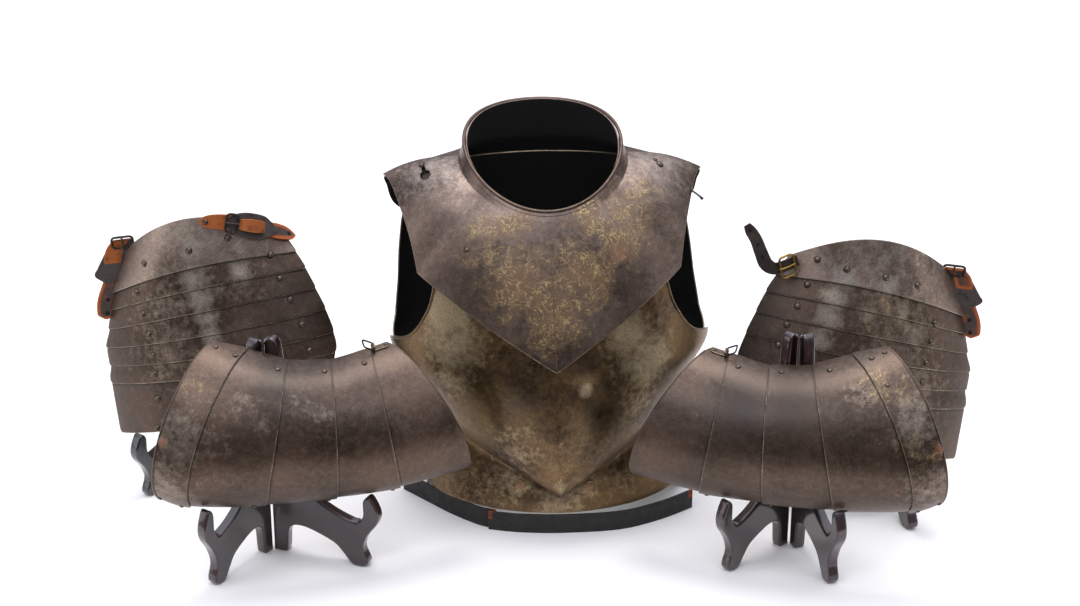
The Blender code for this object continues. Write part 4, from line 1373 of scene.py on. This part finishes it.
# Painted highlights in a band down the middle: across, level, radius and strength.
TASSET_PAINTED_HIGHLIGHTS = {
    "left": [(0.50, 6.35, 0.016, 0.7), (0.50, 5.5, 0.018, 0.9), (0.51, 4.6, 0.016, 1.0),
             (0.52, 3.8, 0.015, 0.95),
             (0.52, 3.0, 0.014, 0.9), (0.70, 5.5, 0.016, 0.8), (0.72, 6.3, 0.010, 0.6),
             (0.50, 2.2, 0.014, 0.7),
             (0.48, 1.5, 0.018, 0.6), (0.40, 6.8, 0.05, 0.35), (0.35, 4.6, 0.05, 0.40),
             (0.35, 2.6, 0.05, 0.40),
             (0.66, 4.6, 0.035, 0.30)],
    "right": [(0.33, 6.15, 0.016, 0.9), (0.31, 5.3, 0.016, 1.0), (0.31, 4.4, 0.015, 1.0),
              (0.30, 3.5, 0.014, 0.9),
              (0.53, 6.15, 0.014, 0.9), (0.47, 5.0, 0.016, 0.6), (0.60, 5.4, 0.018, 0.6),
              (0.66, 4.4, 0.02, 0.6),
              (0.72, 2.0, 0.03, 0.5), (0.55, 6.8, 0.05, 0.35), (0.55, 5.2, 0.06, 0.40),
              (0.60, 3.6, 0.06, 0.40)],
}

# Painted shade near one side: across, level, radius and strength.
TASSET_PAINTED_SHADE = {
    "left": [(0.92, 4.0, 0.028, 0.8), (0.97, 2.8, 0.03, 0.8), (0.80, 3.0, 0.024, 0.5),
             (0.05, 4.5, 0.05, 0.35),
             (0.05, 2.5, 0.05, 0.4), (0.10, 0.6, 0.05, 0.5), (0.4, 0.4, 0.05, 0.5),
             (0.02, 6.4, 0.03, 0.4)],
    "right": [(0.03, 5.2, 0.026, 0.8), (0.03, 4.0, 0.03, 0.9), (0.03, 2.6, 0.03, 0.9),
              (0.14, 3.2, 0.02, 0.6),
              (0.95, 4.0, 0.04, 0.3), (0.90, 1.0, 0.05, 0.4)],
}

# Yellow bloom on the middle lames: across, level, radius and strength.
TASSET_BLOOM = {
    "left": [(0.40, 5.3, 0.03, 0.35), (0.30, 1.6, 0.03, 0.35)],
    "right": [(0.55, 5.4, 0.035, 0.62), (0.48, 4.6, 0.03, 0.5), (0.80, 2.6, 0.03, 0.4)],
}

for side in ("left", "right"):
    last = len(TASSET_LEVELS) - 1
    # Painted highlights and painted shade, with the real yellow bloom.
    shine = [("bright", tasset_point(side, across, level) + SET_SHIFT, radius, amount)
             for across, level, radius, amount in TASSET_PAINTED_HIGHLIGHTS[side]]
    shine += [("dark", tasset_point(side, across, level) + SET_SHIFT, radius, amount)
              for across, level, radius, amount in TASSET_PAINTED_SHADE[side]]
    shine += [("stain", tasset_point(side, across, level) + SET_SHIFT, radius, amount)
              for across, level, radius, amount in TASSET_BLOOM[side]]
    for number in range(1, last + 1):
        start = number - 1
        end = min(number + (TASSET_LAP if number < last else 0), last)
        surface = tasset_lame(side, number)
        lame = rounded_lame(surface, 0.0, 0.004, 0.03, TASSET_ARC_LENGTH, False)
        shown = 1 / (end - start)
        sheet(f"{side}_thigh_lame_{number}", lame, 84, 26 if number in (1, 7) else 16, LAME_STEEL,
              paler_and_lit_browned if number == 7 else browned, forge_scale, "set",
              [f"tasset_{side}_lame_{number}"], shine,
              lap=(lambda s, t: (shown - t) * 0.03) if number < last else None)
        places = []
        for across, level in TASSET_RIVETS[side]:
            if min(int(level) + 1, last) == number:
                point, outward = on_plate(surface, across, (level - start) / (end - start))
                places.append((point, outward, 0.0033, 0.0027))
        heads(f"{side}_thigh_rivets_{number}", places, "set")
print("tasset rivets:", sum(len(v) for v in TASSET_RIVETS.values()))

# %% [markdown]
# ## Tasset straps and buckles
# Each strap is cut from thick hide and folded: a dark patch with its grain side
# out, a bright orange keeper that bulges through the buckle, and a tongue with
# two holes. The right tasset's inner strap is flipped up over its brass buckle.

# %% straps
SIDE_PATCH = [
    (-0.006, 6.96, 19, 3.9), (-0.016, 6.86, 24, 5.2), (-0.022, 6.62, 28, 6.0),
    (-0.026, 6.35, 33, 6.2), (-0.030, 6.20, 34, 5.8), (-0.034, 6.00, 3, 5.6),
]
SIDE_KEEPER = [
    (-0.010, 6.90, 16, 6.2), (-0.016, 6.80, 18, 9.0), (-0.021, 6.66, 19, 10.6),
    (-0.024, 6.52, 19, 9.8), (-0.026, 6.42, 17, 7.6),
]
SIDE_TONGUE = [
    (-0.022, 6.86, 17, 4.2), (-0.026, 6.50, 20, 4.6), (-0.032, 6.10, 22, 4.9), (-0.036, 5.70, 23, 5.2),
    (-0.038, 5.25, 23, 5.3),
    (-0.038, 4.92, 21, 5.5), (-0.038, 4.80, 14, 5.5), (-0.038, 4.70, 2, 5.5),
]
TOP_END = [(0.540, 6.95, 4, 1.6), (0.565, 6.95, 12, 1.6), (0.620, 6.95, 16, 1.6), (0.720, 6.95, 17, 1.8)]
TOP_PATCH = [
    (0.670, 6.96, 8, 3.2), (0.700, 6.95, 18, 3.3), (0.760, 6.95, 26, 3.4), (0.850, 6.92, 26, 3.5),
    (0.900, 6.88, 16, 3.6), (0.935, 6.86, 4, 3.6),
]
TOP_KEEPER = [(0.735, 6.96, 11, 4.6), (0.760, 6.96, 13, 8.4), (0.800, 6.96, 14, 10.4),
              (0.840, 6.95, 13, 8.6), (0.865, 6.94, 11, 4.6)]
TOP_TIP = [(0.870, 6.92, 14, 2.2), (0.930, 6.90, 17, 2.3), (0.990, 6.86, 16, 2.6),
           (1.025, 6.82, 12, 2.8), (1.050, 6.79, 2, 2.8)]


# How far straps turn to the front, stand up and lie in, in metres.
STRAP_TURN = 0.85
PATCH_RISE = {"left": (0.018, 0.016), "right": (0.010, 0.014)}
KEEPER_RISE = {"left": (0.017, 0.016), "right": (0.009, 0.013)}
TONGUE_RISE = {"left": (0.008, 0.0), "right": (0.010, 0.006)}
STRAP_INWARD = {"left": 0.008, "right": -0.007}


def hung_strap(side, rows, rise=(0.0, 0.0)):
    """Side strap: it leaves the curving plate and hangs with its face forwards.

    rise: how far its first and last rows stand above their place on the plate.
    """
    laid = laid_strap(side, rows, False)

    def surface(s, t):
        low, high, middle = laid(0.0, t), laid(1.0, t), laid(0.5, t)
        run = high - low
        forward = Vector((math.copysign(1.0, run.x), -0.25 if side == "left" else 0.25, 0.0))
        turned = (run.normalized() * (1 - STRAP_TURN) + forward.normalized() * STRAP_TURN).normalized()
        inward = Vector((STRAP_INWARD[side], -0.007,
                         rise[0] * (1 - t) + rise[1] * t))
        return middle + turned * run.length * (s - 0.5) + inward

    return surface


def strap(name, side, rows, upright, outer, replaces=(), rise=(0.0, 0.0)):
    surface = laid_strap(side, rows, True) if upright else hung_strap(side, rows, rise)
    return sheet(
        name, surface, 12, 48, STRAP_LEATHER, outer, flesh_leather, "set",
        replaces, uneven=0.0004, rounding=0.0005)


def strap_holes(name, surface, places, radius=0.0019):
    """Punched holes, drawn as dark shallow discs just above the leather: painted shade for the holes'
    insides.
    """
    spots_here = []
    for s, t in places:
        point, outward = on_plate(surface, s, t, 0.0002)
        spots_here.append((point, outward, radius, 0.0003))
    heads(name, spots_here, "set", forge_scale)


def wire_buckle(name, surface, at, width, length, material, replaces, clearance=0.0012):
    """Wire frame and prong on a strap."""
    point, wide, long, outward = plate_frame(surface, 0.5, at)
    centre = point + SET_SHIFT + outward * (BUCKLE_WIRE + clearance)
    ring = rounded_ring(centre, wide, long, width, length, 0.004)
    tube(name, ring, BUCKLE_WIRE, material, "set", closed=True, replaces=replaces)
    prong = [centre - long * length / 2 + outward * 0.001, centre + outward * 0.0026,
             centre + long * (length / 2 + 0.002) + outward * 0.0012]
    tube(name + "_prong", prong, BUCKLE_WIRE * 0.8, material, "set")


for side in ("left", "right"):
    strap(f"{side}_side_patch", side, SIDE_PATCH, False, grain_leather,
          [f"tasset_{side}_side_strap"], PATCH_RISE[side])
    keeper = flesh_leather if side == "left" else tongue_leather
    strap(f"{side}_side_keeper", side, SIDE_KEEPER, False, keeper, (), KEEPER_RISE[side])
    strap(f"{side}_side_tongue", side, SIDE_TONGUE, False, tongue_leather, (), TONGUE_RISE[side])
    surface = hung_strap(side, SIDE_TONGUE, TONGUE_RISE[side])
    strap_holes(f"{side}_side_holes", surface, [(0.5, 0.42), (0.5, 0.70)])
    wire_buckle(f"{side}_side_wire", hung_strap(side, SIDE_PATCH, PATCH_RISE[side]), 0.20, 0.023, 0.014,
                iron, [f"tasset_{side}_side_buckle"])

strap("left_top_end", "left", TOP_END, True, flesh_leather, ["tasset_left_top_strap"])
strap("left_top_patch", "left", TOP_PATCH, True, grain_leather)
strap("left_top_keeper", "left", TOP_KEEPER, True, flesh_leather)
strap("left_top_tip", "left", TOP_TIP, True, tongue_leather)
strap_holes("left_top_holes", laid_strap("left", TOP_TIP, True), [(0.5, 0.62)])
wire_buckle("left_top_wire", laid_strap("left", TOP_PATCH, True), 0.18, 0.020, 0.012,
            iron, ["tasset_left_top_buckle"])
point, outward = on_plate(laid_strap("left", TOP_END, True), 0.5, 0.35)
heads("left_top_rivet", [(point, outward, 0.0028, 0.0016)], "set")

sheet("right_top_flipped_strap", flipped_strap, 12, 70, STRAP_LEATHER, brown_leather,
      brown_leather, "set", ["tasset_right_top_strap"], uneven=0.0004,
      rounding=0.0005)
strap_holes("right_top_holes", flipped_strap, [(0.5, 0.86), (0.5, 0.66), (0.5, 0.52)], 0.0015)
wire_buckle("right_top_wire", flipped_strap, 0.15, 0.024, 0.016, brass,
            ["tasset_right_top_buckle"], 0.0013)
print("straps and buckles placed")

# %% [markdown]
# ## Easels
# Each easel is two carved boards that fold on a hinge. The outline is a smooth
# curve through the measured points, and the edges are rounded before the lacquer.

# %% easels
def easel_outline(reach, low, steps=6):
    rows = []
    for forward, height in EASEL_BOARD:
        if height < EASEL_LOW:
            height *= low
        rows.append((forward * reach / 1000, height / 1000))
    count = len(rows)
    points = []
    for k in range(count):
        window = [rows[(k + offset) % count] for offset in (-1, 0, 1, 2)]
        lows = [min(window[1][axis], window[2][axis]) for axis in (0, 1)]
        highs = [max(window[1][axis], window[2][axis]) + 0.001 for axis in (0, 1)]
        for step in range(steps):
            point = through(window, 1 + step / steps)
            points.append([min(max(point[axis], lows[axis]), highs[axis]) for axis in (0, 1)])
    return points


def easel_piece(name, hinge, shape, side, material):
    bearing, reach, low = shape
    curve = bpy.data.curves.new(name + "_board", "CURVE")
    curve.dimensions = "2D"
    curve.fill_mode = "BOTH"
    rounding = 0.0022
    curve.extrude = EASEL_THICKNESS / 2 - rounding
    curve.bevel_depth = rounding
    curve.bevel_resolution = 4
    curve.offset = -rounding
    outline = easel_outline(reach, low)
    line = curve.splines.new("POLY")
    line.points.add(len(outline) - 1)
    for knot, (forward, height) in zip(line.points, outline):
        knot.co = (forward, height, 0.0, 1.0)
    line.use_cyclic_u = True
    curve.materials.append(material)
    board = bpy.data.objects.new(name + "_board", curve)
    bpy.context.scene.collection.objects.link(board)
    turn = math.radians(bearing)
    forward = Vector((math.cos(turn), math.sin(turn), 0.0))
    sideways = Vector((-forward.y, forward.x, 0.0))
    start = Vector((*hinge, 0.0)) + SET_SHIFT
    start += sideways * side * (EASEL_THICKNESS / 2 + GAP)
    place = Matrix.Identity(4)
    place.col[0] = (*forward, 0.0)
    place.col[1] = (0.0, 0.0, 1.0, 0.0)
    place.col[2] = (*forward.cross(Vector((0, 0, 1))), 0.0)
    place.col[3] = (*start, 1.0)
    board.matrix_world = place
    bpy.context.view_layer.update()
    return place_piece(board, "set", [name])


for name, (x, y, first, second) in EASELS.items():
    wood = black if name == "easel_rear_left" else cherry
    easel_piece(name + "_a", (x, y), first, -1, wood)
    easel_piece(name + "_b", (x, y), second, 1, wood)
print(len(EASELS), "easels of two boards")

# %% [markdown]
# ## Studio
# The set was photographed on white with large soft lights above and in front, by
# a long lens from a little above. The floor stays pale, and the plates show dark
# because they reflect the dim room behind the camera.

# %% floor, light and camera
PAPER_FRONT = -0.36
WALL_LIGHT = 0.23
CEILING_LIGHT = 1.75


def add_floor():
    """White paper under the set, on a darker studio floor."""
    for name, size, place, colour in (
            ("studio_paper", 7.0, (0.0, PAPER_FRONT + 3.5, 0.0), "#fffbf5"),
            ("studio_floor", 30.0, (0.0, 0.0, -0.002), "#43382f")):
        bpy.ops.mesh.primitive_plane_add(size=size, location=place)
        floor = bpy.context.active_object
        floor.name = name
        m, _where = start_material(name + "_finish")
        shader = add(m, "BsdfPrincipled", Roughness=0.9, **{"Base Color": linear(colour)})
        floor.data.materials.append(finish_material(m, shader))


def add_light(name, place, aim, size, power, colour="#ffffff"):
    data = bpy.data.lights.new(name, "AREA")
    data.shape = "DISK"
    data.size = size
    data.energy = power
    data.color = linear(colour)[:3]
    lamp = bpy.data.objects.new(name, data)
    lamp.location = place
    lamp.rotation_euler = (Vector(aim) - Vector(place)).to_track_quat("-Z", "Y").to_euler()
    bpy.context.scene.collection.objects.link(lamp)


def add_room():
    """Bright ceiling over walls that get dark towards the floor."""
    world = bpy.data.worlds.new("studio_room")
    world.use_nodes = True
    back = world.node_tree.nodes["Background"]
    way = world.node_tree.nodes.new("ShaderNodeTexCoord")
    axes = world.node_tree.nodes.new("ShaderNodeSeparateXYZ")
    ramp = world.node_tree.nodes.new("ShaderNodeMapRange")
    ramp.interpolation_type = "SMOOTHSTEP"
    for name, value in (("From Min", 0.26), ("From Max", 0.85), ("To Min", WALL_LIGHT),
                        ("To Max", CEILING_LIGHT)):
        ramp.inputs[name].default_value = value
    world.node_tree.links.new(way.outputs["Generated"], axes.inputs[0])
    world.node_tree.links.new(axes.outputs["Z"], ramp.inputs["Value"])
    world.node_tree.links.new(ramp.outputs[0], back.inputs["Strength"])
    back.inputs["Color"].default_value = linear("#ecf0ff")
    bpy.context.scene.world = world


add_floor()
add_room()
add_light("key_left", (-0.75, -1.3, 1.9), (-0.1, 0.0, 0.2), 0.6, 6.0, "#f2f7ff")
add_light("key_right", (1.0, -1.0, 1.7), (0.2, 0.0, 0.2), 0.4, 2.0, "#f2f7ff")
add_light("top", (0.0, 0.3, 2.2), (0.0, 0.0, 0.2), 1.0, 17.0)
add_light("side_left", (-2.3, -0.5, 0.6), (0.0, 0.0, 0.2), 1.1, 4.5)
add_light("side_right", (2.3, -0.5, 0.6), (0.0, 0.0, 0.2), 1.0, 2.6)
bpy.context.scene.view_settings.view_transform = "Standard"

CAMERA_PLACE = Vector((0.0, -2.266, 1.2766)) + SET_SHIFT
CAMERA_AIM = Vector((0.0, 0.0, 0.22)) + SET_SHIFT
camera_data = bpy.data.cameras.new("camera")
camera_data.lens = 78.33
camera_data.sensor_width = 36.0
camera = bpy.data.objects.new("camera", camera_data)
camera.location = CAMERA_PLACE
camera.rotation_euler = (CAMERA_AIM - CAMERA_PLACE).to_track_quat("-Z", "Y").to_euler()
bpy.context.scene.collection.objects.link(camera)
bpy.context.scene.camera = camera
